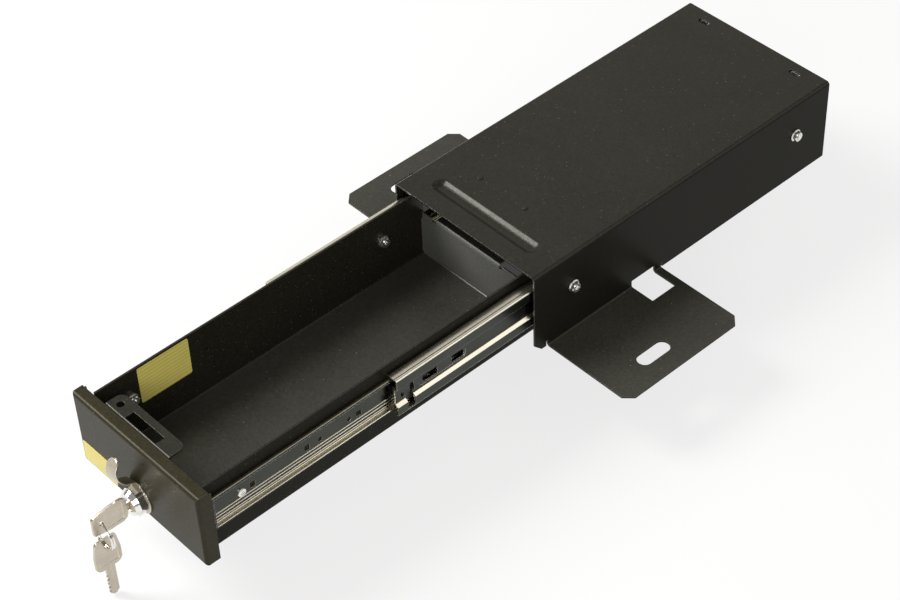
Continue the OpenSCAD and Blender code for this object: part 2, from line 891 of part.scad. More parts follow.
// Section of the innermost slide member, with three stiffening ribs in its lower half
module drawer_member_section() {
  difference() {
    round_rect([0, -drawer_member_h / 2], [drawer_lip + section_r, drawer_member_h / 2], section_r);
    round_rect(
      [slide_sheet, slide_sheet - drawer_member_h / 2],
      [drawer_lip + 2 * section_r, drawer_member_h / 2 - slide_sheet],
      section_r - slide_sheet
    );
    rect([drawer_lip, -drawer_member_h], [drawer_lip + 2 * section_r, drawer_member_h]);
    for (side = [-1, 1])
      translate([inner_ball_out, side * inner_ball_rise])
        circle(inner_ball_r + race_play);
  }
  for (drop = rib_drops)
    translate([slide_sheet, -drop])
      intersection() {
        circle(rib_r);
        rect([-slide_sheet / 2, -rib_r], [rib_r, rib_r]);
      }
}

module drawer_member()
  color(zinc)
    slide_place() {
      difference() {
        run_y(drawer_member_y, slide_l)
          drawer_member_section();
        for (y = drawer_screw_ys())
          translate([0, y, 0])
            rod_x(-past, slide_sheet + 2 * past, screw_d / 2 + running_gap);
        for (start = punch_ys)
          translate([-past, drawer_member_y + start, -punch_h / 2])
            cube([slide_sheet + 2 * past, punch_w, punch_h]);
        for (start = round_punch_ys)
          translate([0, drawer_member_y + start, 0])
            rod_x(-past, slide_sheet + 2 * past, round_punch_r);
      }
      translate([slide_sheet, drawer_member_y, slide_sheet - drawer_member_h / 2])
        cube([drawer_lip - slide_sheet, slide_sheet, drawer_member_h - 2 * slide_sheet]);
    }

module release_levers()
  color("black")
    both_sides()
      slide_place()
        translate([slide_sheet, drawer_member_y, 0]) {
          translate([0, lever_y, -lever_h / 2])
            cube([lever_t, lever_l, lever_h]);
          translate([lever_t, lever_hook_y, -lever_hook])
            cube([lever_hook_t, lever_hook_l, lever_hook + lever_h / 2]);
        }

module drawer_tray()
  color(black)
    difference() {
      run_y(tray_y, tray_l)
        translate([0, tray_z + tray_h])
          mirror([0, 1])
            difference() {
              arch(half_tray, 0, tray_h, bend_r);
              arch(tray_in, -past, tray_h - sheet_t, inner_bend);
            }
      both_sides()
        slide_place() {
          for (y = drawer_screw_ys())
            translate([0, y, 0])
              rod_x(-sheet_t - past, sheet_t + 2 * past, screw_d / 2 + running_gap);
          for (start = spare_hole_ys)
            translate([0, tray_y + start, spare_hole_rise])
              rod_x(-sheet_t - past, sheet_t + 2 * past, spare_hole_r);
        }
    }

// Section of a wall that bends back into a lip at its top, drawn in Y and Z
module lipped_wall(low, high, depth) {
  rect([0, low], [sheet_t, high - bend_r]);
  rect([bend_r, high - sheet_t], [depth, high]);
  translate([bend_r, high - bend_r])
    difference() {
      intersection() {
        circle(bend_r);
        rect([-bend_r, 0], [0, bend_r]);
      }
      circle(inner_bend);
    }
}

// A wall across the tray, standing on its floor between its sides
module cross_wall(y, top)
  run_y(y, sheet_t)
    translate([0, top])
      mirror([0, 1])
        arch(tray_in, 0, top - floor_z, bend_r);

module drawer_back()
  color(black) {
    cross_wall(tray_back - sheet_t, back_z - bend_r);
    translate([0, tray_back - sheet_t, 0]) {
      run_x(back_lip_start, back_lip_l)
        lipped_wall(back_z - 2 * bend_r, back_z, back_lip + sheet_t);
      for (
        span = [
          [-tray_in, back_lip_start - back_relief],
          [back_lip_start + back_lip_l + back_relief, tray_in]
        ]
      )
        translate([span[0], 0, back_z - 2 * bend_r])
          cube([span[1] - span[0], sheet_t, 2 * bend_r]);
    }
  }

module latch_guide()
  color(black)
    difference() {
      union() {
        cross_wall(tray_y, guide_z - guide_shoulder);
        translate([0, tray_y, 0])
          run_x(guide_x - guide_w / 2, guide_w)
            lipped_wall(guide_z - 2 * guide_shoulder, guide_z, guide_d);
      }
      translate([0, tray_y + guide_d, guide_z - 2 * sheet_t])
        for (side = [-1, 1])
          translate([guide_x + side * guide_w / 2, 0, 0])
            difference() {
              cube([2 * guide_r, 2 * guide_r, 4 * sheet_t], center = true);
              translate([-side * guide_r, -guide_r, -3 * sheet_t])
                cylinder(h = 6 * sheet_t, r = guide_r);
            }
      translate([guide_slot_x - guide_slot_l, cam_y + cam_t / 2 - guide_slot_w / 2, guide_z - 2 * sheet_t])
        cube([guide_slot_l, guide_slot_w, 4 * sheet_t]);
      translate([guide_x - guide_w / 2 + guide_hole_in, tray_y + guide_d / 2, guide_z - 2 * sheet_t])
        cylinder(h = 4 * sheet_t, d = guide_hole_d);
      lock_bore(tray_y, barrel_d / 2 + fit_gap);
      stud_places()
        rod_y(tray_y - past, sheet_t + 2 * past, stud_d / 2 + running_gap);
    }

// A hole on the lock axis through one sheet whose front face is at y
module lock_bore(y, r)
  translate([lock_x, 0, lock_z])
    rod_y(y - past, sheet_t + 2 * past, r);

// The four places of the panel studs
module stud_places()
  for (side = [-1, 1], rise = stud_rises)
    translate([side * stud_x, 0, tray_z + rise])
      children();

// A shallow pan, open at the back, whose front edges are all round
module pan(inset, depth, r)
  intersection() {
    run_x(-panel_half + inset, 2 * (panel_half - inset))
      round_rect(
        [panel_y + inset, panel_bottom + inset],
        [panel_y + 4 * panel_depth, panel_top - inset],
        r
      );
    translate([0, 0, panel_bottom + inset])
      linear_extrude(panel_top - panel_bottom - 2 * inset)
        round_rect(
          [-panel_half + inset, panel_y + inset],
          [panel_half - inset, panel_y + 4 * panel_depth],
          r
        );
    translate([-panel_half, panel_y, 0])
      cube([2 * panel_half, depth, 2 * panel_top]);
  }

module front_panel()
  color(black)
    difference() {
      pan(0, panel_depth, bend_r);
      pan(sheet_t, panel_depth + past, inner_bend);
      translate([-panel_half, panel_y + panel_top_depth, panel_top - sheet_t - past])
        cube([2 * panel_half, panel_depth, sheet_t + 2 * past]);
      for (side = [-1, 1], z = [panel_bottom - past, panel_top - sheet_t - seam_w])
        translate([side * (panel_half - sheet_t - seam_w / 2) - seam_w / 2, panel_y + bend_r, z])
          cube([seam_w, panel_depth, sheet_t + seam_w + past]);
      lock_bore(panel_y, barrel_d / 2 + fit_gap);
    }

module panel_studs()
  color(zinc)
    stud_places() {
      rod_y(panel_y + sheet_t, panel_depth + tray_gap - sheet_t, stud_collar_r);
      rod_y(panel_y + sheet_t, guide_back - sheet_t + nut_t + stud_over, stud_d / 2);
    }

module panel_nuts()
  color(zinc)
    stud_places()
      translate([0, panel_y + guide_back, 0])
        rotate([-90, 0, 0])
          hex_nut(stud_nut_flats, nut_t, stud_d + 2 * running_gap);

module drawer_screws()
  color(zinc)
    both_sides()
      slide_place()
        for (y = drawer_screw_ys())
          translate([0, y, 0]) {
            rod_x(slide_sheet, head_h, head_r);
            rod_x(
              -sheet_t - nut_h - tail_over,
              slide_sheet + head_h + sheet_t + nut_h + tail_over,
              screw_d / 2
            );
          }

module drawer_nuts()
  color(zinc)
    both_sides()
      slide_place()
        for (y = drawer_screw_ys())
          translate([-sheet_t, y, 0])
            mirror([1, 0, 0])
              flange_nut();

// Outline of the pull plate, with the ear along X
module pull_outline()
  difference() {
    polygon([
      each pull_points,
      for (i = [len(pull_points) - 2:-1:1]) [pull_points[i][0], -pull_points[i][1]]
    ]);
    circle(barrel_d / 2 + fit_gap);
  }

module finger_pull()
  color(nickel)
    translate([lock_x, panel_y, lock_z])
      rotate([90, 0, 0])
        rotate([0, 0, 90 + pull_lean])
          intersection() {
            linear_extrude(2 * pull_r2)
              pull_outline();
            translate([0, pull_ring_d, 0])
              rotate([90, 0, 0])
                linear_extrude(2 * pull_ring_d)
                  polygon(pull_profile);
          }

// Lock case: a beveled head with wrench flats, and a barrel that passes through the panel
module lock_body()
  color(chrome)
    translate([lock_x, 0, lock_z])
      difference() {
        union() {
          intersection() {
            rod_y(key_head_y + head_bevel, head_l - head_bevel, head_d / 2);
            translate([0, key_head_y, 0])
              rotate([-90, 0, 0])
                cylinder(h = head_l, r = head_flats / sqrt(3), $fn = 6);
          }
          translate([0, key_head_y + head_bevel, 0])
            rotate([90, 0, 0])
              cylinder(h = head_bevel, r1 = head_flats / 2, r2 = head_face_r);
          rod_y(panel_y - pull_t, pull_t + barrel_end, barrel_d / 2);
        }
        rod_y(key_head_y - past, head_l + pull_t + barrel_end + 2 * past, plug_d / 2 + running_gap);
      }

module lock_nut()
  color(zinc)
    translate([lock_x, panel_y + guide_back, lock_z])
      rotate([-90, 0, 0])
        hex_nut(lock_nut_flats, nut_t, barrel_d + 2 * running_gap);

module lock_plug()
  color(nickel)
    translate([lock_x, 0, lock_z])
      difference() {
        union() {
          rod_y(plug_y, panel_y + barrel_end - plug_y, plug_d / 2);
          translate([-tail_w / 2, panel_y + barrel_end - past, -tail_w / 2])
            cube([tail_w, cam_front + cam_t - barrel_end + past, tail_w]);
        }
        translate([-key_t / 2 - keyway_play, plug_y - past, -blade_w / 2 - keyway_play])
          cube([key_t + 2 * keyway_play, keyway_l + past, blade_w + 2 * keyway_play]);
        rod_y(cam_y + cam_t - cam_screw_l, cam_screw_l + past, cam_screw_r + running_gap);
        for (y = wafer_ys)
          translate([-wafer_w / 2 - wafer_play, y - wafer_play, -plug_d])
            cube([wafer_w + 2 * wafer_play, wafer_t + 2 * wafer_play, 2 * plug_d]);
      }

module lock_wafers()
  color("goldenrod")
    translate([lock_x, 0, lock_z])
      for (y = wafer_ys)
        translate([0, y, 0])
          difference() {
            translate([-wafer_w / 2, 0, -wafer_h / 2])
              cube([wafer_w, wafer_t, wafer_h]);
            translate([-key_t / 2 - keyway_play, -past, -blade_w / 2 - keyway_play])
              cube([key_t + 2 * keyway_play, wafer_t + 2 * past, blade_w + 2 * keyway_play]);
          }

module latch_cam()
  color(zinc)
    translate([lock_x, cam_y + cam_t, lock_z])
      rotate([90, 0, 0])
        linear_extrude(cam_t)
          difference() {
            union() {
              circle(cam_hub_r);
              intersection() {
                rect([-cam_l, -cam_w / 2], [0, cam_w / 2]);
                circle(cam_l);
              }
            }
            square(tail_w + 2 * running_gap, center = true);
          }

module cam_screw()
  color(zinc)
    translate([lock_x, 0, lock_z]) {
      rod_y(cam_y + cam_t, cam_screw_head_h, cam_screw_head_r);
      rod_y(cam_y + cam_t - cam_screw_l + fit_gap, cam_screw_l, cam_screw_r);
    }

// Outline of a key: the bow ends at the origin and the blade runs along +X
module key_outline()
  difference() {
    polygon([
      each key_points,
      for (i = [len(key_points) - 1:-1:0]) [key_points[i][0], -key_points[i][1]]
    ]);
    translate([-bow_l + key_hole_in, 0])
      circle(key_hole_d / 2);
    for (i = [0:len(bitting) - 1])
      translate([bitting_start + i * bitting_pitch, -blade_w / 2])
        rotate(45)
          square(bitting[i], center = true);
  }

// A key lying in the Y and Z plane, its bow sunk on both faces
module key_body()
  rotate([90, 0, 90])
    difference() {
      translate([0, 0, -key_t / 2])
        linear_extrude(key_t)
          key_outline();
      for (side = [-1, 1])
        translate([0, 0, side * key_t / 2]) {
          translate([-bow_panel_near, -bow_panel_w / 2, -bow_panel_d])
            mirror([1, 0, 0])
              cube([bow_panel_l, bow_panel_w, 2 * bow_panel_d]);
          translate([-past / 2, -blade_groove_w / 2, -blade_groove_d])
            cube([blade_l, blade_groove_w, 2 * blade_groove_d]);
        }
    }

module lock_key()
  color(nickel)
    translate([lock_x, bow_y, lock_z])
      key_body();

module spare_key()
  color(nickel)
    translate([lock_x, key_hole_y, spare_hole_z - bow_l + key_hole_in])
      rotate([-90, 0, 0])
        key_body();

// Split ring: its two turns lie side by side, with a groove between them
module key_ring()
  color(chrome)
    translate([lock_x, key_hole_y, ring_z])
      rotate([90, 0, 0])
        rotate_extrude()
          translate([ring_d / 2, 0])
            difference() {
              rotate(90)
                stadium(2 * ring_wire, ring_wire);
              for (side = [-1, 1])
                translate([side * ring_wire / 2, 0])
                  circle(ring_groove_r);
            }

module front_label()
  color(yellow)
    translate([-panel_half + bend_r + label_edge, panel_y - label_t, panel_bottom + bend_r + label_edge])
      cube([front_label_l, label_t, front_label_h]);

module inner_label()
  color(yellow)
    translate([-tray_in, tray_y + inner_label_front, tray_z + tray_h - inner_label_h - inner_label_drop])
      cube([label_t, inner_label_l, inner_label_h]);

housing_shell();
rear_baffle();
strike_plate();
strike_rivets();
mirror([1, 0, 0]) cabinet_member();  // left_cabinet_member
cabinet_member();  // right_cabinet_member
slide_buffers();
housing_screws();
housing_nuts();
mirror([1, 0, 0]) outer_cage();  // left_outer_cage
outer_cage();  // right_outer_cage
mirror([1, 0, 0]) outer_balls();  // left_outer_balls
outer_balls();  // right_outer_balls
mirror([1, 0, 0]) middle_member();  // left_middle_member
middle_member();  // right_middle_member
mirror([1, 0, 0]) inner_cage();  // left_inner_cage
inner_cage();  // right_inner_cage
mirror([1, 0, 0]) inner_balls();  // left_inner_balls
inner_balls();  // right_inner_balls
drawer_tray();
drawer_back();
latch_guide();
front_panel();
panel_studs();
panel_nuts();
mirror([1, 0, 0]) drawer_member();  // left_drawer_member
drawer_member();  // right_drawer_member
release_levers();
drawer_screws();
drawer_nuts();
finger_pull();
lock_body();
lock_nut();
front_label();
inner_label();
lock_plug();
lock_wafers();
latch_cam();
cam_screw();
lock_key();
key_ring();
spare_key();
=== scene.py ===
# Under-seat security drawer: a lockable steel drawer on ball slides, run out of its folded housing.
# The scene is in metres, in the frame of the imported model. The pieces' dictionaries are in mm and degrees.
import json
import math

import bmesh
import bpy
from mathutils import Matrix, Vector

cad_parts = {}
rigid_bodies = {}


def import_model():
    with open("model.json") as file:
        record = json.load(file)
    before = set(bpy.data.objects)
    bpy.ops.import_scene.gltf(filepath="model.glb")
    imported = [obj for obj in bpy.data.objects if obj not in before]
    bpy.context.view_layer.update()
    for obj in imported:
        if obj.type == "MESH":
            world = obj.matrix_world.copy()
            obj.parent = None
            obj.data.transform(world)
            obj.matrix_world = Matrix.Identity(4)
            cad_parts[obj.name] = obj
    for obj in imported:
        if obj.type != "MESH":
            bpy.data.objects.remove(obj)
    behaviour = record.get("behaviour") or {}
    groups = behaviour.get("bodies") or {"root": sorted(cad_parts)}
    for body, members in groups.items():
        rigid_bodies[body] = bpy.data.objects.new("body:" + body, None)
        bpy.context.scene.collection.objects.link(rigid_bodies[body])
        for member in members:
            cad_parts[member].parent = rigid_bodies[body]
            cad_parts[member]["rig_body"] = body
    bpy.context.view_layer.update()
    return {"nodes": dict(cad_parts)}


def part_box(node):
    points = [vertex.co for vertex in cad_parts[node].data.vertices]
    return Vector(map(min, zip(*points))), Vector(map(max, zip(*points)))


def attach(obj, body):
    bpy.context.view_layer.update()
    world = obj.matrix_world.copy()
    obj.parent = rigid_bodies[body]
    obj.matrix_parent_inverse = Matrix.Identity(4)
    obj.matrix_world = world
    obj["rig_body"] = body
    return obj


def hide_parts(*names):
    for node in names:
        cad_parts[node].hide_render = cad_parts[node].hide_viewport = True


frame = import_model()
nodes = frame["nodes"]
bodyOf = {name: node["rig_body"] for name, node in nodes.items()}
scene = bpy.context.scene
mm = 0.001
perMetre = 1000.0  # mm in a metre, for the scale of patterns
weld = {"solid": 2e-6, "piece": 1e-6, "turned": 1e-7}  # metres within which two points are one
hair = 0.01  # mm, the least radius that counts
print("frame loaded with", len(nodes), "nodes")


# A shader node with its settings and its inputs, where a socket is linked and anything else is set
def addNode(tree, kind, inputs=None, **settings):
    node = tree.nodes.new(kind)
    for key, value in settings.items():
        setattr(node, key, value)
    for key, value in (inputs or {}).items():
        if isinstance(value, bpy.types.NodeSocket):
            tree.links.new(value, node.inputs[key])
        else:
            node.inputs[key].default_value = value
    return node


def addMath(tree, operation, a, b=0.0, clamp=False):
    return addNode(tree, "ShaderNodeMath", {0: a, 1: b}, operation=operation, use_clamp=clamp).outputs[0]


def mixColours(tree, share, a, b):
    return addNode(tree, "ShaderNodeMix", {0: share, 6: a, 7: b}, data_type="RGBA").outputs[2]


def useGroup(tree, group, **inputs):
    return addNode(tree, "ShaderNodeGroup", inputs, node_tree=group)


def startGroup(name, inputs, outputs):
    tree = bpy.data.node_groups.new(name, "ShaderNodeTree")
    for label, kind, value in inputs:
        socket = tree.interface.new_socket(label, in_out="INPUT", socket_type=kind)
        if value is not None:
            socket.default_value = value
    for label, kind in outputs:
        tree.interface.new_socket(label, in_out="OUTPUT", socket_type=kind)
    return tree, tree.nodes.new("NodeGroupInput"), tree.nodes.new("NodeGroupOutput")


# Grain of one size: a value about zero, and a height for bump with a finer grain on it
grainNoise = {
    "detail": 3.0, "roughness": 0.55,
    "fineRatio": 3.1, "fineDetail": 2.0, "fineRoughness": 0.5, "fineShare": 0.4,
}


def makeGrain():
    look = grainNoise
    tree, given, out = startGroup(
        "grain",
        [
            ("Vector", "NodeSocketVector", None),
            ("Size", "NodeSocketFloat", 1.0),
            ("Stretch", "NodeSocketFloat", 1.0),
        ],
        [("Value", "NodeSocketFloat"), ("Height", "NodeSocketFloat")],
    )
    scale = addMath(tree, "DIVIDE", perMetre, given.outputs["Size"])
    along = addMath(tree, "DIVIDE", 1.0, given.outputs["Stretch"])
    shape = addNode(tree, "ShaderNodeCombineXYZ", {"X": 1.0, "Y": along, "Z": 1.0}).outputs[0]
    place = addNode(
        tree, "ShaderNodeVectorMath", {0: given.outputs["Vector"], 1: shape}, operation="MULTIPLY"
    ).outputs[0]
    broad = addNode(
        tree, "ShaderNodeTexNoise",
        {"Vector": place, "Scale": scale, "Detail": look["detail"], "Roughness": look["roughness"]},
    ).outputs[0]
    fine = addNode(
        tree, "ShaderNodeTexNoise",
        {
            "Vector": place, "Scale": addMath(tree, "MULTIPLY", scale, look["fineRatio"]),
            "Detail": look["fineDetail"], "Roughness": look["fineRoughness"],
        },
    ).outputs[0]
    tree.links.new(addMath(tree, "SUBTRACT", broad, 0.5), out.inputs["Value"])
    mixed = addMath(tree, "MULTIPLY", fine, look["fineShare"])
    tree.links.new(addMath(tree, "ADD", mixed, broad), out.inputs["Height"])
    return tree


# Scattered round specks: a share of the cells carries one, and "crispness" sets how hard its edge is
speckShape = {"crispness": 2.0}


def makeSpecks():
    tree, given, out = startGroup(
        "specks",
        [
            ("Vector", "NodeSocketVector", None),
            ("Spacing", "NodeSocketFloat", 3.0),
            ("Radius", "NodeSocketFloat", 0.1),
            ("Share", "NodeSocketFloat", 0.4),
        ],
        [("Mask", "NodeSocketFloat")],
    )
    scale = addMath(tree, "DIVIDE", perMetre, given.outputs["Spacing"])
    cells = addNode(tree, "ShaderNodeTexVoronoi", {"Vector": given.outputs["Vector"], "Scale": scale})
    size = addMath(tree, "DIVIDE", given.outputs["Radius"], given.outputs["Spacing"])
    away = addMath(tree, "DIVIDE", cells.outputs["Distance"], size)
    near = addMath(tree, "SUBTRACT", 1.0, away, clamp=True)
    draw = addNode(tree, "ShaderNodeSeparateColor", {0: cells.outputs["Color"]})
    carried = addMath(tree, "LESS_THAN", draw.outputs[0], given.outputs["Share"])
    crisp = addMath(tree, "MULTIPLY", near, speckShape["crispness"], clamp=True)
    strength = addMath(tree, "MULTIPLY", crisp, draw.outputs[1])
    tree.links.new(addMath(tree, "MULTIPLY", strength, carried), out.inputs["Mask"])
    return tree


# Slow patches that tint a finish: 0 to 1
patchNoise = {"detail": 4.0, "roughness": 0.6, "distortion": 0.4}


def makePatches():
    look = patchNoise
    tree, given, out = startGroup(
        "patches",
        [
            ("Vector", "NodeSocketVector", None),
            ("Size", "NodeSocketFloat", 60.0),
            ("Contrast", "NodeSocketFloat", 2.0),
        ],
        [("Mask", "NodeSocketFloat")],
    )
    scale = addMath(tree, "DIVIDE", perMetre, given.outputs["Size"])
    cloud = addNode(
        tree, "ShaderNodeTexNoise",
        {
            "Vector": given.outputs["Vector"], "Scale": scale,
            "Detail": look["detail"], "Roughness": look["roughness"], "Distortion": look["distortion"],
        },
    ).outputs[0]
    lifted = addMath(tree, "MULTIPLY", addMath(tree, "SUBTRACT", cloud, 0.5), given.outputs["Contrast"])
    tree.links.new(addMath(tree, "ADD", lifted, 0.5, clamp=True), out.inputs["Mask"])
    return tree


grainGroup, specksGroup, patchesGroup = makeGrain(), makeSpecks(), makePatches()

# What a finish takes where it names nothing itself
plainLook = {
    "shift": (0.013, 0.007, 0.003), "patchSize": 60.0, "patchContrast": 2.0, "patchRough": 0.06,
    "grainSize": 1.0, "grainStretch": 1.0, "grainColour": 0.3, "grainRough": 0.1,
    "bump": 0.2, "bumpDepth": 0.05, "metallic": 0.0, "specular": 0.5, "specularTint": (1, 1, 1),
}


# A finish: two colours mixed in patches, grain in colour, roughness and bump, and specks or ruled lines
def makeFinish(name, chosen):
    look = {**plainLook, **chosen}
    material = bpy.data.materials.new(name)
    material.use_nodes = True
    tree = material.node_tree
    shader = tree.nodes["Principled BSDF"]
    place = addNode(tree, "ShaderNodeTexCoord").outputs["Object"]
    place = addNode(tree, "ShaderNodeMapping", {"Vector": place, "Location": look["shift"]}).outputs[0]
    patches = useGroup(
        tree, patchesGroup, Vector=place, Size=look["patchSize"], Contrast=look["patchContrast"]
    ).outputs["Mask"]
    grain = useGroup(tree, grainGroup, Vector=place, Size=look["grainSize"], Stretch=look["grainStretch"])

    tint = mixColours(tree, patches, (*look["colour"], 1), (*look["colour2"], 1))
    lightness = addMath(tree, "MULTIPLY", grain.outputs["Value"], look["grainColour"])
    shaded = addNode(
        tree, "ShaderNodeHueSaturation", {"Color": tint, "Value": addMath(tree, "ADD", lightness, 1.0)}
    ).outputs[0]
    if "speck" in look:
        specks = useGroup(
            tree, specksGroup, Vector=place, Spacing=look["speckSpacing"],
            Radius=look["speckRadius"], Share=look["speckShare"],
        )
        shaded = mixColours(tree, specks.outputs["Mask"], shaded, (*look["speck"], 1))
    if "rule" in look:
        height = addNode(tree, "ShaderNodeSeparateXYZ", {0: place}).outputs[2]
        part = addMath(tree, "FRACT", addMath(tree, "DIVIDE", height, look["rulePitch"] * mm))
        line = addMath(tree, "LESS_THAN", part, look["ruleWidth"])
        shaded = mixColours(tree, line, shaded, (*look["rule"], 1))
    tree.links.new(shaded, shader.inputs["Base Color"])

    rough = addMath(tree, "MULTIPLY", grain.outputs["Value"], look["grainRough"])
    worn = addMath(tree, "MULTIPLY", addMath(tree, "SUBTRACT", patches, 0.5), look["patchRough"])
    rough = addMath(tree, "ADD", addMath(tree, "ADD", rough, worn), look["roughness"], clamp=True)
    tree.links.new(rough, shader.inputs["Roughness"])
    bump = addNode(
        tree, "ShaderNodeBump",
        {"Height": grain.outputs["Height"], "Strength": look["bump"], "Distance": look["bumpDepth"] * mm},
    )
    tree.links.new(bump.outputs[0], shader.inputs["Normal"])
    shader.inputs["Metallic"].default_value = look["metallic"]
    shader.inputs["Specular IOR Level"].default_value = look["specular"]
    shader.inputs["Specular Tint"].default_value = (*look["specularTint"], 1)
    return material


finishes = {
    # Black semi-gloss powder coat with a fine texture and a little dust
    "powderCoat": {
        "colour": (0.0112, 0.0104, 0.0070), "colour2": (0.0152, 0.0141, 0.0096), "patchSize": 70.0,
        "roughness": 0.30, "grainSize": 2.0, "grainRough": 0.30, "grainColour": 1.2,
        "bump": 0.34, "bumpDepth": 0.08,
        "speck": (0.17, 0.165, 0.140), "speckSpacing": 2.9, "speckRadius": 0.38, "speckShare": 0.45,
        "specular": 0.19, "specularTint": (1.0, 0.98, 0.88),
    },
    # The same coat, more matt and darker, a painted shade: the outsides of the side walls and the back
    # wall's lip
    "sideCoat": {
        "colour": (0.0080, 0.0075, 0.0054), "colour2": (0.0105, 0.0099, 0.0071), "patchSize": 70.0,
        "roughness": 0.42, "grainSize": 2.0, "grainRough": 0.30, "grainColour": 1.2,
        "bump": 0.34, "bumpDepth": 0.08,
        "speck": (0.13, 0.125, 0.110), "speckSpacing": 2.9, "speckRadius": 0.38, "speckShare": 0.45,
        "specular": 0.06, "specularTint": (1.0, 0.98, 0.88),
    },
    # The same coat, lighter and a little browner, a painted light: the front panel and the strike's rivets
    "litPanelCoat": {
        "colour": (0.0190, 0.0168, 0.0088), "colour2": (0.0240, 0.0212, 0.0115), "patchSize": 60.0,
        "roughness": 0.32, "grainSize": 2.0, "grainRough": 0.30, "grainColour": 1.0,
        "bump": 0.36, "bumpDepth": 0.08,
        "speck": (0.24, 0.235, 0.21), "speckSpacing": 3.4, "speckRadius": 0.40, "speckShare": 0.34,
        "specular": 0.11, "specularTint": (1.0, 0.96, 0.76),
    },
    # The same coat made lighter, a painted light: the tops of the drawer's floor and the flanges
    "dustyCoat": {
        "colour": (0.0290, 0.0280, 0.0215), "colour2": (0.0365, 0.0352, 0.0270), "patchSize": 60.0,
        "roughness": 0.40, "grainSize": 2.0, "grainRough": 0.30, "grainColour": 1.0,
        "bump": 0.45, "bumpDepth": 0.08,
        "speck": (0.24, 0.235, 0.21), "speckSpacing": 3.4, "speckRadius": 0.40, "speckShare": 0.34,
        "specular": 0.2,
    },
    # The same coat at its greyest, a painted light: the drawer's back wall
    "litBackCoat": {
        "colour": (0.084, 0.083, 0.074), "colour2": (0.100, 0.099, 0.088), "patchSize": 45.0,
        "roughness": 0.42, "grainSize": 2.0, "grainRough": 0.18, "grainColour": 0.8,
        "bump": 0.45, "bumpDepth": 0.08,
        "speck": (0.26, 0.255, 0.24), "speckSpacing": 3.4, "speckRadius": 0.40, "speckShare": 0.34,
        "specular": 0.2,
    },
    # The same coat on rounded sheet edges, lighter: partly rubbed wear, partly a painted highlight
    "wornAndLitEdge": {
        "colour": (0.045, 0.043, 0.036), "colour2": (0.085, 0.080, 0.068), "patchSize": 25.0,
        "roughness": 0.34, "grainSize": 0.8, "grainRough": 0.1, "bump": 0.15, "bumpDepth": 0.04,
        "specular": 0.5,
    },
    # Zinc-plated strip: grey-green and far darker than zinc on the webs, a painted shade of the dark
    # reflections there, which the cages and the strike plate take too; bright zinc on the other faces;
    # bright at cut edges
    "zincShaded": {
        "colour": (0.060, 0.063, 0.054), "colour2": (0.044, 0.047, 0.041), "patchSize": 38.0,
        "patchRough": 0.10, "roughness": 0.25,
        "grainSize": 0.6, "grainStretch": 24.0, "grainRough": 0.10, "grainColour": 0.35,
        "bump": 0.06, "bumpDepth": 0.01, "metallic": 1.0,
    },
    "zincBand": {
        "colour": (0.80, 0.74, 0.60), "colour2": (0.68, 0.64, 0.53), "patchSize": 50.0,
        "patchRough": 0.06, "roughness": 0.27,
        "grainSize": 0.6, "grainStretch": 40.0, "grainRough": 0.06, "grainColour": 0.12,
        "bump": 0.03, "bumpDepth": 0.01, "metallic": 1.0,
    },
    "zincEdge": {
        "colour": (0.90, 0.86, 0.74), "colour2": (0.78, 0.75, 0.65), "patchSize": 20.0,
        "roughness": 0.26, "grainSize": 0.5, "grainStretch": 12.0, "metallic": 1.0, "bump": 0.05,
    },
    "zincPlated": {
        "colour": (0.86, 0.85, 0.80), "colour2": (0.74, 0.74, 0.70), "patchSize": 6.0, "patchRough": 0.12,
        "roughness": 0.28, "grainSize": 0.35, "grainRough": 0.2, "grainColour": 0.25, "bump": 0.15,
        "bumpDepth": 0.02, "metallic": 1.0,
    },
    "nickel": {
        "colour": (0.58, 0.52, 0.42), "colour2": (0.49, 0.44, 0.36), "patchSize": 9.0, "patchRough": 0.1,
        "roughness": 0.30, "grainSize": 0.3, "grainStretch": 5.0, "grainRough": 0.2, "grainColour": 0.3,
        "bump": 0.15, "bumpDepth": 0.015, "metallic": 1.0,
    },
    "nickelEdge": {
        "colour": (0.80, 0.75, 0.66), "colour2": (0.70, 0.65, 0.56), "patchSize": 6.0,
        "roughness": 0.2, "grainSize": 0.3, "metallic": 1.0,
    },
    "chrome": {
        "colour": (0.84, 0.83, 0.80), "colour2": (0.76, 0.74, 0.70), "patchSize": 5.0, "patchRough": 0.06,
        "roughness": 0.10, "grainSize": 0.5, "grainRough": 0.06, "grainColour": 0.08, "bump": 0.05,
        "bumpDepth": 0.01, "metallic": 1.0,
    },
    "brass": {
        "colour": (0.72, 0.48, 0.16), "colour2": (0.62, 0.41, 0.15), "patchSize": 3.0,
        "roughness": 0.28, "grainSize": 0.25, "grainRough": 0.2, "metallic": 1.0,
    },
    "ballSteel": {
        "colour": (0.75, 0.75, 0.74), "colour2": (0.66, 0.66, 0.66), "patchSize": 2.0,
        "roughness": 0.12, "grainSize": 0.3, "grainRough": 0.1, "bump": 0.03, "metallic": 1.0,
    },
    "bufferRubber": {
        "colour": (0.040, 0.040, 0.040), "colour2": (0.062, 0.061, 0.058), "patchSize": 8.0,
        "roughness": 0.72, "grainSize": 0.4, "grainRough": 0.15, "bump": 0.35, "bumpDepth": 0.04,
    },
    "leverPlastic": {
        "colour": (0.012, 0.012, 0.012), "colour2": (0.020, 0.020, 0.020), "patchSize": 12.0,
        "roughness": 0.42, "grainSize": 0.35, "grainRough": 0.15, "bump": 0.3, "bumpDepth": 0.03,
    },
    # Blank yellow film with faint ruled lines, whose width is a share of their pitch
    "label": {
        "colour": (0.65, 0.56, 0.14), "colour2": (0.60, 0.51, 0.12), "patchSize": 22.0,
        "roughness": 0.36, "grainSize": 0.4, "grainRough": 0.1, "grainColour": 0.12,
        "bump": 0.08, "bumpDepth": 0.02,
        "rule": (0.42, 0.35, 0.09), "rulePitch": 3.1, "ruleWidth": 0.16,
    },
}
materials = {name: makeFinish(name, look) for name, look in finishes.items()}
print("finishes made:", len(materials))


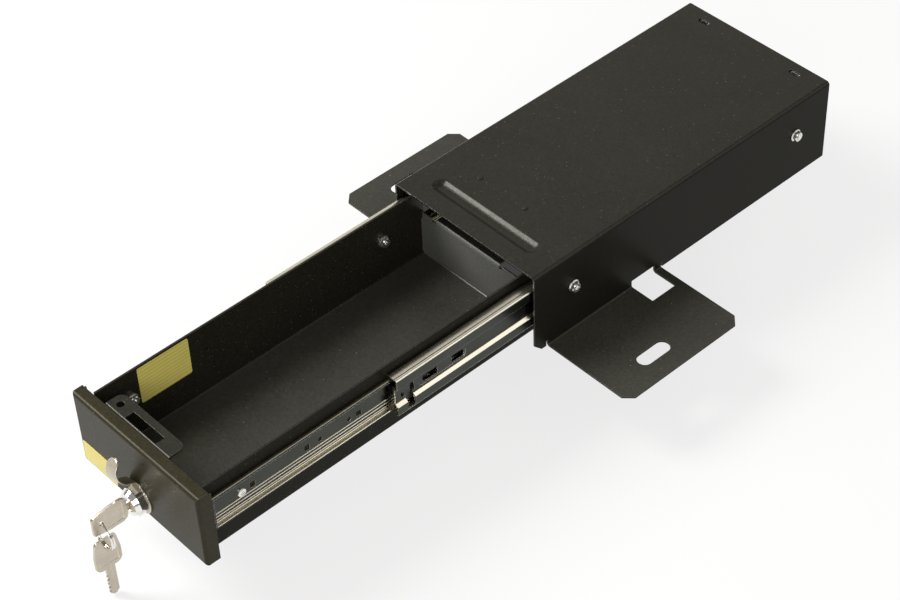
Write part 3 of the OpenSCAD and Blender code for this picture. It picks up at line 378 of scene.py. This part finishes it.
# A new object of a mesh that is already in its place, on the body of a CAD node
def showPiece(name, mesh, node):
    piece = bpy.data.objects.new(name, mesh)
    scene.collection.objects.link(piece)
    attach(piece, bodyOf[node])
    return piece


# The same, in place of the CAD node
def replaceNode(mesh, node):
    piece = showPiece(node + "Dressed", mesh, node)
    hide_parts(node)
    return piece


# A mesh in one finish from a bmesh, smooth up to an angle
def smoothMesh(bm, name, finish, sharpAngle):
    bmesh.ops.remove_doubles(bm, verts=bm.verts, dist=weld["piece"])
    bmesh.ops.dissolve_degenerate(bm, edges=bm.edges, dist=weld["piece"])
    bmesh.ops.recalc_face_normals(bm, faces=bm.faces)
    mesh = bpy.data.meshes.new(name)
    bm.to_mesh(mesh)
    bm.free()
    for face in mesh.polygons:
        face.use_smooth = True
    mesh.set_sharp_from_angle(angle=math.radians(sharpAngle))
    mesh.materials.append(materials[finish])
    return mesh


def finishPiece(bm, node, finish, sharpAngle=32):
    replaceNode(smoothMesh(bm, node + "Dressed", finish, sharpAngle), node)


# The separate solids of a CAD node: each one's lowest and highest corner, in mm
def solidsOf(node):
    bm = bmesh.new()
    bm.from_mesh(nodes[node].data)
    bmesh.ops.remove_doubles(bm, verts=bm.verts, dist=weld["solid"])
    found, left = [], set(bm.verts)
    while left:
        reached, waiting = set(), [left.pop()]
        while waiting:
            vert = waiting.pop()
            reached.add(vert)
            for edge in vert.link_edges:
                other = edge.other_vert(vert)
                if other in left:
                    left.discard(other)
                    waiting.append(other)
        points = [vert.co / mm for vert in reached]
        found.append((
            Vector(min(point[i] for point in points) for i in range(3)),
            Vector(max(point[i] for point in points) for i in range(3)),
        ))
    bm.free()
    return sorted(found, key=lambda box: tuple(round(value, 2) for value in box[0]))


# A frame whose Z runs along one direction and whose X lies along another, placed in mm
def standAt(place, along, across):
    along, across = Vector(along).normalized(), Vector(across).normalized()
    turn = Matrix((across, along.cross(across), along)).transposed().to_4x4()
    turn.translation = Vector(place) * mm
    return turn


# Turns an outline of (radius, height) points, in mm, about Z, and trims its radius where a shape is given
def turned(bm, outline, stand, steps, trim=None):
    before = set(bm.verts)
    points = [bm.verts.new((radius * mm, 0, height * mm)) for radius, height in outline]
    lines = [bm.edges.new(pair) for pair in zip(points, points[1:])]
    if outline[0][0] > 0:
        lines.append(bm.edges.new((points[-1], points[0])))
    bmesh.ops.spin(
        bm, geom=points + lines, cent=(0, 0, 0), axis=(0, 0, 1), dvec=(0, 0, 0), angle=2 * math.pi,
        steps=steps, use_merge=True, use_duplicate=False,
    )
    made = [vert for vert in bm.verts if vert not in before]
    for vert in made:
        radius = vert.co.xy.length / mm
        if trim and radius > hair:
            kept = trim(radius, vert.co.z / mm, math.degrees(math.atan2(vert.co.y, vert.co.x)))
            vert.co.xy *= kept / radius
    bmesh.ops.remove_doubles(bm, verts=made, dist=weld["turned"])
    made = [vert for vert in bm.verts if vert not in before]
    bmesh.ops.transform(bm, matrix=stand, verts=made)


# Trims a radius to a hexagon with a corner on X, above a start height
def hexagon(flats, start=-1.0):
    def trim(radius, height, angle):
        if height < start:
            return radius
        return min(radius, flats / 2 / math.cos(math.radians(angle % 60 - 30)))
    return trim


# Trims the inner part of a screw head to a cross recess
def crossRecess(reach, width):
    leastLean = 1e-4

    def trim(radius, height, angle):
        if radius > reach + hair:
            return radius
        lean = abs(math.sin(math.radians((angle + 45) % 90 - 45)))
        return radius * min(1.0, width / 2 / max(lean, leastLean) / reach)
    return trim


# Points of a rolled thread from one height to another, ending in a chamfer
thread = {"pitch": 0.7, "depth": 0.32, "tail": 0.4, "chamfer": 0.5}


def threadPoints(radius, start, end, pitch=thread["pitch"]):
    points, height = [], start
    while height + pitch < end - thread["tail"]:
        points += [(radius, height), (radius - thread["depth"], height + pitch / 2)]
        height += pitch
    return points + [(radius, height), (radius - thread["chamfer"], end), (0, end)]


# Tests for the faces that take another finish: "square" and "level" are the least share of a normal along X
# and along Z, "low" and "high" are heights
facing = {"square": 0.93, "level": 0.9, "low": 10, "high": 30}


def isBand(face):
    return abs(face.normal.x) < facing["square"]


def isOutside(face):
    return abs(face.normal.x) > facing["square"] and face.normal.x * face.calc_center_median().x > 0


def isLowTop(face):
    return face.normal.z > facing["level"] and face.calc_center_median().z < facing["low"] * mm


def isHighTop(face):
    return face.normal.z > facing["level"] and face.calc_center_median().z > facing["high"] * mm


# The slides' raceway bands in bright zinc against the painted shade of their webs, the outsides of the side
# walls and the back wall's lip in a painted shade, and the tops of the tray's floor and of the flanges in a
# painted light
partFinishes = {
    side + kind: [("zincBand", isBand)]
    for side in ("left_", "right_") for kind in ("cabinet_member", "middle_member", "drawer_member")
}
partFinishes["housing_shell"] = [("sideCoat", isOutside), ("dustyCoat", isLowTop)]
partFinishes["drawer_tray"] = [("sideCoat", isOutside), ("dustyCoat", isLowTop)]
partFinishes["drawer_back"] = [("sideCoat", isHighTop)]


def bevelEdges(bm, edges, width, segments):
    bmesh.ops.bevel(
        bm, geom=edges, offset=width * mm, offset_type="OFFSET", affect="EDGES",
        segments=segments, profile=0.5, material=-1, clamp_overlap=True,
    )


# The pressed groove's rim is drawn soft: its edges lie at one level, inside a rectangle of the top
grooveRim = {
    "width": 2.2, "segments": 5, "fold": 15,
    "level": 74.1, "tolerance": 0.02, "reach": 60, "from": -60, "to": -27.5,
}


def softenRim(bm):
    look = grooveRim
    rim = [
        edge for edge in bm.edges
        if len(edge.link_faces) == 2 and edge.calc_face_angle() > math.radians(look["fold"])
        and all(
            abs(vert.co.z / mm - look["level"]) < look["tolerance"] and abs(vert.co.x / mm) < look["reach"]
            and look["from"] < vert.co.y / mm < look["to"] for vert in edge.verts
        )
    ]
    bevelEdges(bm, rim, look["width"], look["segments"])
    print("groove rim edges softened:", len(rim))


# The long bends of the slide members are rolled, not sharp, where both faces are wide enough: more than
# "spare" times the radius
rolledBend = {"radius": 0.9, "segments": 4, "length": 50, "fold": 50, "spare": 1.2}


def rollBends(bm, node):
    look = rolledBend
    least = look["radius"] * look["spare"] * mm
    bends = [
        edge for edge in bm.edges
        if len(edge.link_faces) == 2 and edge.calc_length() > look["length"] * mm
        and edge.calc_face_angle() > math.radians(look["fold"])
        and all(face.calc_area() > edge.calc_length() * least for face in edge.link_faces)
    ]
    bevelEdges(bm, bends, look["radius"], look["segments"])
    print(node, "long bends rolled:", len(bends))


# Sheet pieces, slides and lock parts keep their solids' shapes, with rounded edges that catch the light:
# finish, width of the rounding and finish of the rounding. The back wall and the front panel take lighter
# coats, a painted light, the slides, cages and strike plate a dark zinc, a painted shade, and the coat's
# lighter edge finish is partly a painted highlight
roundedNodes = {
    "housing_shell": ("powderCoat", 0.35, "wornAndLitEdge"),
    "rear_baffle": ("powderCoat", 0.3, "wornAndLitEdge"),
    "drawer_tray": ("powderCoat", 0.35, "wornAndLitEdge"),
    "drawer_back": ("litBackCoat", 0.35, "wornAndLitEdge"),
    "latch_guide": ("powderCoat", 0.35, "wornAndLitEdge"),
    "front_panel": ("litPanelCoat", 0.15, "wornAndLitEdge"),
    "strike_plate": ("zincShaded", 0.25, "zincEdge"),
    "left_cabinet_member": ("zincShaded", 0.2, "zincEdge"),
    "right_cabinet_member": ("zincShaded", 0.2, "zincEdge"),
    "left_middle_member": ("zincShaded", 0.2, "zincEdge"),
    "right_middle_member": ("zincShaded", 0.2, "zincEdge"),
    "left_drawer_member": ("zincShaded", 0.2, "zincEdge"),
    "right_drawer_member": ("zincShaded", 0.2, "zincEdge"),
    "left_outer_cage": ("zincShaded", 0.1, "zincEdge"),
    "right_outer_cage": ("zincShaded", 0.1, "zincEdge"),
    "left_inner_cage": ("zincShaded", 0.1, "zincEdge"),
    "right_inner_cage": ("zincShaded", 0.1, "zincEdge"),
    "slide_buffers": ("bufferRubber", 0.5, "bufferRubber"),
    "release_levers": ("leverPlastic", 0.6, "leverPlastic"),
    "finger_pull": ("nickel", 0.3, "nickelEdge"),
    "lock_body": ("chrome", 0.35, "chrome"),
    "lock_plug": ("nickel", 0.2, "nickelEdge"),
    "lock_key": ("nickel", 0.3, "nickelEdge"),
    "spare_key": ("nickel", 0.3, "nickelEdge"),
    "latch_cam": ("zincPlated", 0.35, "zincPlated"),
    "lock_wafers": ("brass", 0.08, "brass"),
}
edgeRounding = {"angle": 35, "segments": 2, "flat": 0.5, "weight": 100}


def makeRounded(node, finish, width, edgeFinish):
    look, parts = edgeRounding, partFinishes.get(node, [])
    bm = bmesh.new()
    bm.from_mesh(nodes[node].data)
    bmesh.ops.remove_doubles(bm, verts=bm.verts, dist=weld["solid"])
    bmesh.ops.dissolve_degenerate(bm, edges=bm.edges, dist=weld["solid"])
    bmesh.ops.dissolve_limit(
        bm, angle_limit=math.radians(look["flat"]), verts=bm.verts, edges=bm.edges,
        use_dissolve_boundaries=False,
    )
    if node == "housing_shell":
        softenRim(bm)
    if node.endswith("_member"):
        rollBends(bm, node)
    slots = [finish, edgeFinish] + [partFinish for partFinish, test in parts]
    for face in bm.faces:
        face.smooth = True
        face.material_index = next((2 + i for i, (partFinish, test) in enumerate(parts) if test(face)), 0)
    mesh = bpy.data.meshes.new(node + "Dressed")
    bm.to_mesh(mesh)
    bm.free()
    for slot in slots:
        mesh.materials.append(materials[slot])
    piece = replaceNode(mesh, node)
    rounding = piece.modifiers.new("rounding", "BEVEL")
    rounding.width = width * mm
    rounding.segments = look["segments"]
    rounding.limit_method = "ANGLE"
    rounding.angle_limit = math.radians(look["angle"])
    rounding.material = 1
    rounding.use_clamp_overlap = True
    shading = piece.modifiers.new("shading", "WEIGHTED_NORMAL")
    shading.weight = look["weight"]
    shading.keep_sharp = True


for node, (finish, width, edgeFinish) in roundedNodes.items():
    makeRounded(node, finish, width, edgeFinish)
print("rounded pieces:", len(roundedNodes))

# Flange nuts of the slide screws: a low flange, a cone up to the hexagon, and a chamfered top
flangeNut = {
    "flangeWidth": 10.0, "flangeHeight": 1.0, "underBevel": 0.25, "rimBevel": (0.3, 0.15),
    "flats": 7.5, "cone": (0.15, 0.35), "coneEnd": 0.5, "hexStart": 1.3,
    "bore": 4.0, "chamfer": 0.55, "topShare": 0.97, "countersink": 0.3, "steps": 48,
}


def makeFlangeNuts(node):
    bm = bmesh.new()
    look = flangeNut
    corner, outer, bore = look["flats"] / math.sqrt(3), look["flangeWidth"] / 2, look["bore"] / 2
    flange, sink = look["flangeHeight"], look["countersink"]
    for low, high in solidsOf(node):
        height = high.x - low.x
        outward = 1 if (low.x > 0) == (node == "housing_nuts") else -1
        seat = (low.x if outward > 0 else high.x, (low.y + high.y) / 2, (low.z + high.z) / 2)
        outline = [
            (bore, 0), (outer - look["underBevel"], 0), (outer, look["underBevel"]),
            (outer, flange - look["rimBevel"][1]), (outer - look["rimBevel"][0], flange),
            (corner + look["cone"][0], flange + look["cone"][1]), (corner, flange + look["coneEnd"]),
            (corner, height - look["chamfer"]), (look["flats"] / 2 * look["topShare"], height),
            (bore + sink, height), (bore, height - sink),
        ]
        stand = standAt(seat, (outward, 0, 0), (0, 1, 0))
        turned(bm, outline, stand, look["steps"], hexagon(look["flats"], look["hexStart"]))
    finishPiece(bm, node, "zincPlated")


makeFlangeNuts("housing_nuts")
makeFlangeNuts("drawer_nuts")

# Pan-head screws with a cross recess, and a thread past the nut. Points are (radius, depth from the head's
# top), but in the recess they are (share of its reach, depth)
panScrew = {
    "radius": 2.0, "headRadius": 3.5, "headHeight": 2.0,
    "dome": [(1.9, 0.12), (2.6, 0.24), (3.2, 0.62), (3.5, 1.25)],
    "recess": 1.9, "recessWidth": 0.95, "recessDepth": 1.3, "recessSlope": [(0.55, 1.2), (0.9, 0.75)],
    "threadLength": 3.2, "steps": 48,
}


def makePanScrews(node):
    bm = bmesh.new()
    look = panScrew
    for low, high in solidsOf(node):
        length = high.x - low.x
        outward = 1 if (low.x > 0) == (node == "housing_screws") else -1
        top = (low.x if outward > 0 else high.x, (low.y + high.y) / 2, (low.z + high.z) / 2)
        outline = (
            [(0, look["recessDepth"])]
            + [(look["recess"] * share, depth) for share, depth in look["recessSlope"]]
            + look["dome"]
            + [(look["headRadius"], look["headHeight"]), (look["radius"], look["headHeight"])]
            + threadPoints(look["radius"], length - look["threadLength"], length)
        )
        stand = standAt(top, (outward, 0, 0), (0, 1, 0))
        turned(bm, outline, stand, look["steps"], crossRecess(look["recess"], look["recessWidth"]))
    finishPiece(bm, node, "zincPlated")


makePanScrews("housing_screws")
makePanScrews("drawer_screws")

# Collar studs that hold the panel, and the hexagon nuts of the panel and the lock
panelStud = {"collarRadius": 4.5, "radius": 2.5, "bevel": 0.3, "plain": 1.2, "pitch": 0.8, "steps": 40}
plainNut = {"chamfer": 0.35, "topShare": 0.97, "countersink": 0.3, "steps": 72}
panelNut = {"flats": 8.0, "clearance": 0.02}
lockNut = {"bore": 9.02}


def makePanelStuds():
    bm = bmesh.new()
    look = panelStud
    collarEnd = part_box("latch_guide")[0][1] / mm
    for low, high in solidsOf("panel_studs"):
        collar, length = collarEnd - low.y, high.y - low.y
        outline = [
            (0, 0), (look["collarRadius"] - look["bevel"], 0), (look["collarRadius"], look["bevel"]),
            (look["collarRadius"], collar), (look["radius"], collar),
        ] + threadPoints(look["radius"], collar + look["plain"], length, look["pitch"])
        base = ((low.x + high.x) / 2, low.y, (low.z + high.z) / 2)
        turned(bm, outline, standAt(base, (0, 1, 0), (1, 0, 0)), look["steps"])
    finishPiece(bm, "panel_studs", "zincPlated")


def makeHexNuts(node, flats, bore):
    bm = bmesh.new()
    look = plainNut
    corner, face = flats / math.sqrt(3), flats / 2 * look["topShare"]
    chamfer, sink = look["chamfer"], look["countersink"]
    for low, high in solidsOf(node):
        height = high.y - low.y
        outline = [
            (bore, 0), (face, 0), (corner, chamfer), (corner, height - chamfer),
            (face, height), (bore + sink, height), (bore, height - sink),
        ]
        base = ((low.x + high.x) / 2, low.y, (low.z + high.z) / 2)
        turned(bm, outline, standAt(base, (0, 1, 0), (1, 0, 0)), look["steps"], hexagon(flats))
    finishPiece(bm, node, "zincPlated")


makePanelStuds()
makeHexNuts("panel_nuts", panelNut["flats"], panelStud["radius"] + panelNut["clearance"])
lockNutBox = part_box("lock_nut")
makeHexNuts("lock_nut", (lockNutBox[1][2] - lockNutBox[0][2]) / mm, lockNut["bore"])

# Screw that holds the cam: a low head with a cross recess
camScrew = {
    "radius": 2.0, "headRadius": 3.8, "headHeight": 2.0, "recess": 2.0, "recessWidth": 1.0,
    "dome": [(0, 1.2), (1.1, 1.1), (1.8, 0.7), (2.0, 0.1), (2.9, 0.25), (3.5, 0.65), (3.8, 1.2)],
    "tip": 0.4, "steps": 48,
}


def makeCamScrew():
    bm = bmesh.new()
    look = camScrew
    (low, high), = solidsOf("cam_screw")
    length = high.y - low.y
    outline = look["dome"] + [
        (look["headRadius"], look["headHeight"]), (look["radius"], look["headHeight"]),
        (look["radius"], length - look["tip"]), (look["radius"] - look["tip"], length), (0, length),
    ]
    top = ((low.x + high.x) / 2, high.y, (low.z + high.z) / 2)
    stand = standAt(top, (0, -1, 0), (1, 0, 0))
    turned(bm, outline, stand, look["steps"], crossRecess(look["recess"], look["recessWidth"]))
    finishPiece(bm, "cam_screw", "zincPlated")


makeCamScrew()

# Low domed rivets that hold the strike plate under the top: (share of the radius, depth)
rivet = {"dome": [(0, 0), (0.55, 0.02), (0.85, 0.2), (1, 0.5)], "steps": 36, "sharpAngle": 50}


def makeRivets():
    bm = bmesh.new()
    look = rivet
    for low, high in solidsOf("strike_rivets"):
        radius, height = (high.x - low.x) / 2, high.z - low.z
        outline = [(radius * share, depth) for share, depth in look["dome"]]
        outline += [(radius, height), (0, height)]
        top = ((low.x + high.x) / 2, (low.y + high.y) / 2, high.z)
        turned(bm, outline, standAt(top, (0, 0, -1), (1, 0, 0)), look["steps"])
    finishPiece(bm, "strike_rivets", "litPanelCoat", look["sharpAngle"])


makeRivets()
print("fasteners made")

# Balls of the slides
ball = {"around": 18, "rings": 12, "sharpAngle": 60}


def makeBalls(node):
    bm = bmesh.new()
    for low, high in solidsOf(node):
        bmesh.ops.create_uvsphere(
            bm, u_segments=ball["around"], v_segments=ball["rings"], radius=(high.y - low.y) / 2 * mm,
            matrix=Matrix.Translation((low + high) / 2 * mm),
        )
    finishPiece(bm, node, "ballSteel", ball["sharpAngle"])


for node in ("left_outer_balls", "right_outer_balls", "left_inner_balls", "right_inner_balls"):
    makeBalls(node)
print("balls made")

# Split key ring: one wire of nearly two turns that lie side by side, with a step between them
splitRing = {
    "wire": 1.6, "around": 12, "start": 118.0, "flat": 292.0, "flatSteps": 60, "step": 56.0,
    "stepSteps": 12, "sharpAngle": 50,
}


def makeKeyRing():
    look = splitRing
    wire = look["wire"]
    low, high = (Vector(corner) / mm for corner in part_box("key_ring"))
    radius = (high.x - low.x - wire) / 2
    bm = bmesh.new()
    start = Matrix.Rotation(math.radians(look["start"]), 4, "Z")
    place = Matrix.Translation((radius * mm, 0, wire / 2 * mm))
    section = bmesh.ops.create_circle(
        bm, cap_ends=False, radius=wire / 2 * mm, segments=look["around"],
        matrix=start @ place @ Matrix.Rotation(math.pi / 2, 4, "X"),
    )["verts"]
    last = section + list({edge for vert in section for edge in vert.link_edges})
    flat = (look["flat"], 0, look["flatSteps"])
    for sweep, drop, steps in (flat, (look["step"], -wire, look["stepSteps"]), flat):
        last = bmesh.ops.spin(
            bm, geom=last, cent=(0, 0, 0), axis=(0, 0, 1), dvec=(0, 0, drop * mm / steps),
            angle=math.radians(sweep), steps=steps, use_merge=False, use_duplicate=False,
        )["geom_last"]
    bmesh.ops.holes_fill(bm, edges=[edge for edge in bm.edges if edge.is_boundary], sides=0)
    bmesh.ops.transform(bm, matrix=standAt((low + high) / 2, (0, -1, 0), (1, 0, 0)), verts=bm.verts)
    finishPiece(bm, "key_ring", "chrome", look["sharpAngle"])


makeKeyRing()
print("key ring made")

# Narrow fillets where the back wall meets the tray's floor and sides, set a gap deep into both faces
seam = {"radius": 1.1, "segments": 5, "gap": 0.05, "sheet": 1.5, "height": 34, "sharpAngle": 40}


def onlyVerts(geometry):
    return [item for item in geometry if isinstance(item, bmesh.types.BMVert)]


# The closed outline of a fillet in the corner of two faces, which it reaches along two directions
def filletLoop(bm, corner, one, other):
    radius, gap = seam["radius"] * mm, seam["gap"] * mm
    start = bm.verts.new(corner - (one + other) * gap)
    first = bm.verts.new(corner + one * radius - other * gap)
    lean = bm.verts.new(corner + one * radius)
    turn = bmesh.ops.spin(
        bm, geom=[lean], cent=corner + (one + other) * radius, axis=one.cross(other), dvec=(0, 0, 0),
        angle=-math.pi / 2, steps=seam["segments"], use_merge=False, use_duplicate=False,
    )["geom_last"]
    last = bm.verts.new(corner + other * radius - one * gap)
    for pair in ((start, first), (first, lean), (onlyVerts(turn)[0], last), (last, start)):
        bm.edges.new(pair)
    loop = {edge for vert in (start, first, lean, last) for edge in vert.link_edges}
    waiting = list(loop)
    while waiting:
        for vert in waiting.pop().verts:
            for edge in vert.link_edges:
                if edge not in loop:
                    loop.add(edge)
                    waiting.append(edge)
    return list(loop)


def makeSeams():
    trayHigh = Vector(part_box("drawer_tray")[1])
    backLow, backHigh = (Vector(corner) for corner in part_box("drawer_back"))
    wall, rise = trayHigh.y - seam["sheet"] * mm, Vector((0, 0, seam["height"] * mm))
    left, right = Vector((backLow.x, wall, backLow.z)), Vector((backHigh.x, wall, backLow.z))
    across, forward, up = Vector((1, 0, 0)), Vector((0, -1, 0)), Vector((0, 0, 1))
    runs = [  # corner, run, and the two ways that the fillet reaches
        (left, right - left, forward, up),
        (left, rise, across, forward),
        (right, rise, forward, -across),
    ]
    bm = bmesh.new()
    for corner, run, one, other in runs:
        face = bmesh.ops.contextual_create(bm, geom=filletLoop(bm, corner, one, other))["faces"]
        pushed = bmesh.ops.extrude_face_region(bm, geom=face)["geom"]
        bmesh.ops.translate(bm, vec=run, verts=onlyVerts(pushed))
    # The fillets take the coat's lighter edge finish: partly wear, partly a painted highlight along the
    # joints
    mesh = smoothMesh(bm, "backSeams", "wornAndLitEdge", seam["sharpAngle"])
    showPiece("backSeams", mesh, "drawer_back")


makeSeams()
print("seams made")

# Blank labels of thin film with round corners
labelFilm = {"corner": 1.6, "segments": 6}


def makeLabel(node):
    low, high = (Vector(corner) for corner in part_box(node))
    size = high - low
    thin = min(range(3), key=lambda i: size[i])
    bm = bmesh.new()
    bmesh.ops.create_cube(bm, size=1)
    bmesh.ops.scale(bm, vec=size, verts=bm.verts)
    bmesh.ops.translate(bm, vec=(low + high) / 2, verts=bm.verts)
    corners = [
        edge for edge in bm.edges if abs((edge.verts[0].co - edge.verts[1].co)[thin]) > size[thin] / 2
    ]
    bevelEdges(bm, corners, labelFilm["corner"], labelFilm["segments"])
    finishPiece(bm, node, "label")


makeLabel("front_label")
makeLabel("inner_label")
print("labels made")

# Camera, at the photograph's viewing angle: degrees, metres, and mm for the lens and the sensor
view = {
    "azimuth": 49.126, "elevation": 43.410, "roll": -2.620, "lens": 92.617, "sensor": 36, "farClip": 50,
    "target": (0, -0.0612, 0.031), "distance": 1.692016, "right": -0.010553, "up": -0.018814,
}


def placeCamera():
    azimuth, elevation, roll = (math.radians(view[key]) for key in ("azimuth", "elevation", "roll"))
    flat = math.cos(elevation)
    back = Vector((math.sin(azimuth) * flat, -math.cos(azimuth) * flat, math.sin(elevation)))
    level = (-back).cross(Vector((0, 0, 1))).normalized()
    upright = level.cross(-back)
    right = level * math.cos(roll) + upright * math.sin(roll)
    up = upright * math.cos(roll) - level * math.sin(roll)
    lens = bpy.data.cameras.new("camera")
    lens.lens, lens.sensor_width, lens.clip_end = view["lens"], view["sensor"], view["farClip"]
    camera = bpy.data.objects.new("camera", lens)
    scene.collection.objects.link(camera)
    stand = Matrix((right, up, back)).transposed().to_4x4()
    stand.translation = (
        Vector(view["target"]) + back * view["distance"] + right * view["right"] + up * view["up"]
    )
    camera.matrix_world = stand
    scene.camera = camera


placeCamera()
print("camera placed")

# Studio, in metres and watts: pale floor, soft world, a key softbox high at the front left, a wide one at
# the rear left that the top reflects, a weak one at the rear right for the slides' shoulders, and a fill
# beside the camera. The values for the spot under the housing place and shape a painted shadow there, a soft
# dark spot on the floor
studio = {
    "floorLevel": -0.0532, "floorSize": 8.0, "floorCells": 4, "floorRoughness": 0.9, "floorSpecular": 0.1,
    "floorColour": (0.50, 0.50, 0.49), "cloudScale": 3.0, "cloudTint": 1.01,
    "floorLift": 0.68, "liftStrength": 1.10,
    "paintedShadowColour": (0.03, 0.03, 0.03), "paintedShadowScale": (16.7, 9.1, 0), "paintedShadowShift": (0.80, -0.50, 0),
    "paintedShadowFrom": 0.35, "paintedShadowTo": 1.0, "paintedShadowLeast": 0.06,
    "world": (0.34, 0.34, 0.335), "worldStrength": 1.0,
    "lamps": [
        # name, place, aim, width, height, watts
        ("keySoftbox", (-1.098, -0.92, 1.458), (0, -0.1, 0), 0.7, 1.25, 60),
        ("rearLeftSoftbox", (-1.10, 0.85, 1.38), (0, -0.1, 0), 1.6, 1.6, 4),
        ("rearRightSoftbox", (1.25, 0.90, 1.05), (0, -0.1, 0), 1.4, 1.2, 6.5),
        ("fillSoftbox", (1.24, -1.34, 0.96), (0, -0.1, 0), 1.0, 1.0, 19),
    ],
}


# Mask of a painted shadow on the floor: 0 right under the housing, where the floor is painted dark and
# loses its white lift, to 1 away from it, because no white shows there through the gaps
def outsidePaintedShadow(tree, place):
    spot = addNode(
        tree, "ShaderNodeVectorMath", {0: place, 1: studio["paintedShadowScale"], 2: studio["paintedShadowShift"]},
        operation="MULTIPLY_ADD",
    ).outputs[0]
    distance = addNode(tree, "ShaderNodeVectorMath", {0: spot}, operation="LENGTH").outputs["Value"]
    return addNode(
        tree, "ShaderNodeMapRange",
        {
            "Value": distance, "From Min": studio["paintedShadowFrom"], "From Max": studio["paintedShadowTo"],
            "To Min": studio["paintedShadowLeast"],
        },
        interpolation_type="SMOOTHSTEP",
    ).outputs[0]


def makeFloorMaterial():
    material = bpy.data.materials.new("paleFloor")
    material.use_nodes = True
    tree = material.node_tree
    shader = tree.nodes["Principled BSDF"]
    shader.inputs["Roughness"].default_value = studio["floorRoughness"]
    shader.inputs["Specular IOR Level"].default_value = studio["floorSpecular"]
    place = addNode(tree, "ShaderNodeTexCoord").outputs["Object"]
    away = outsidePaintedShadow(tree, place)
    cloud = addNode(tree, "ShaderNodeTexNoise", {"Vector": place, "Scale": studio["cloudScale"]}).outputs[0]
    pale = studio["floorColour"]
    paler = tuple(value * studio["cloudTint"] for value in pale)
    tint = mixColours(tree, cloud, (*pale, 1), (*paler, 1))
    # Painted shadow: the floor's colour turns dark under the housing
    tint = mixColours(tree, away, (*studio["paintedShadowColour"], 1), tint)
    tree.links.new(tint, shader.inputs["Base Color"])
    # Part of the floor's white comes by itself where the camera, metal or glass sees it, save in the painted
    # shadow under the housing
    rays = addNode(tree, "ShaderNodeLightPath")
    seen = addMath(tree, "MAXIMUM", rays.outputs["Is Camera Ray"], rays.outputs["Is Glossy Ray"])
    seen = addMath(tree, "MAXIMUM", seen, rays.outputs["Is Transmission Ray"])
    seen = addMath(tree, "MULTIPLY", seen, away)
    white = addNode(tree, "ShaderNodeEmission", {"Color": (1, 1, 1, 1), "Strength": studio["liftStrength"]})
    blend = addNode(tree, "ShaderNodeMixShader", {0: addMath(tree, "MULTIPLY", seen, studio["floorLift"])})
    tree.links.new(shader.outputs[0], blend.inputs[1])
    tree.links.new(white.outputs[0], blend.inputs[2])
    tree.links.new(blend.outputs[0], tree.nodes["Material Output"].inputs["Surface"])
    return material


def layFloor():
    bm = bmesh.new()
    cells = studio["floorCells"]
    bmesh.ops.create_grid(bm, x_segments=cells, y_segments=cells, size=studio["floorSize"] / 2)
    bmesh.ops.translate(bm, verts=bm.verts, vec=(0, 0, studio["floorLevel"]))
    mesh = bpy.data.meshes.new("floor")
    bm.to_mesh(mesh)
    bm.free()
    mesh.materials.append(makeFloorMaterial())
    floor = bpy.data.objects.new("floor", mesh)
    scene.collection.objects.link(floor)


def lightStudio():
    world = bpy.data.worlds.new("studio")
    scene.world = world
    world.use_nodes = True
    background = world.node_tree.nodes["Background"]
    background.inputs["Color"].default_value = (*studio["world"], 1)
    background.inputs["Strength"].default_value = studio["worldStrength"]
    for name, place, aim, width, height, watts in studio["lamps"]:
        lamp = bpy.data.lights.new(name, "AREA")
        lamp.shape, lamp.size, lamp.size_y, lamp.energy = "RECTANGLE", width, height, watts
        holder = bpy.data.objects.new(name, lamp)
        scene.collection.objects.link(holder)
        holder.location = place
        holder.rotation_euler = (Vector(aim) - Vector(place)).to_track_quat("-Z", "Y").to_euler()


layFloor()
lightStudio()
scene.view_settings.view_transform = "Standard"
print("studio ready")
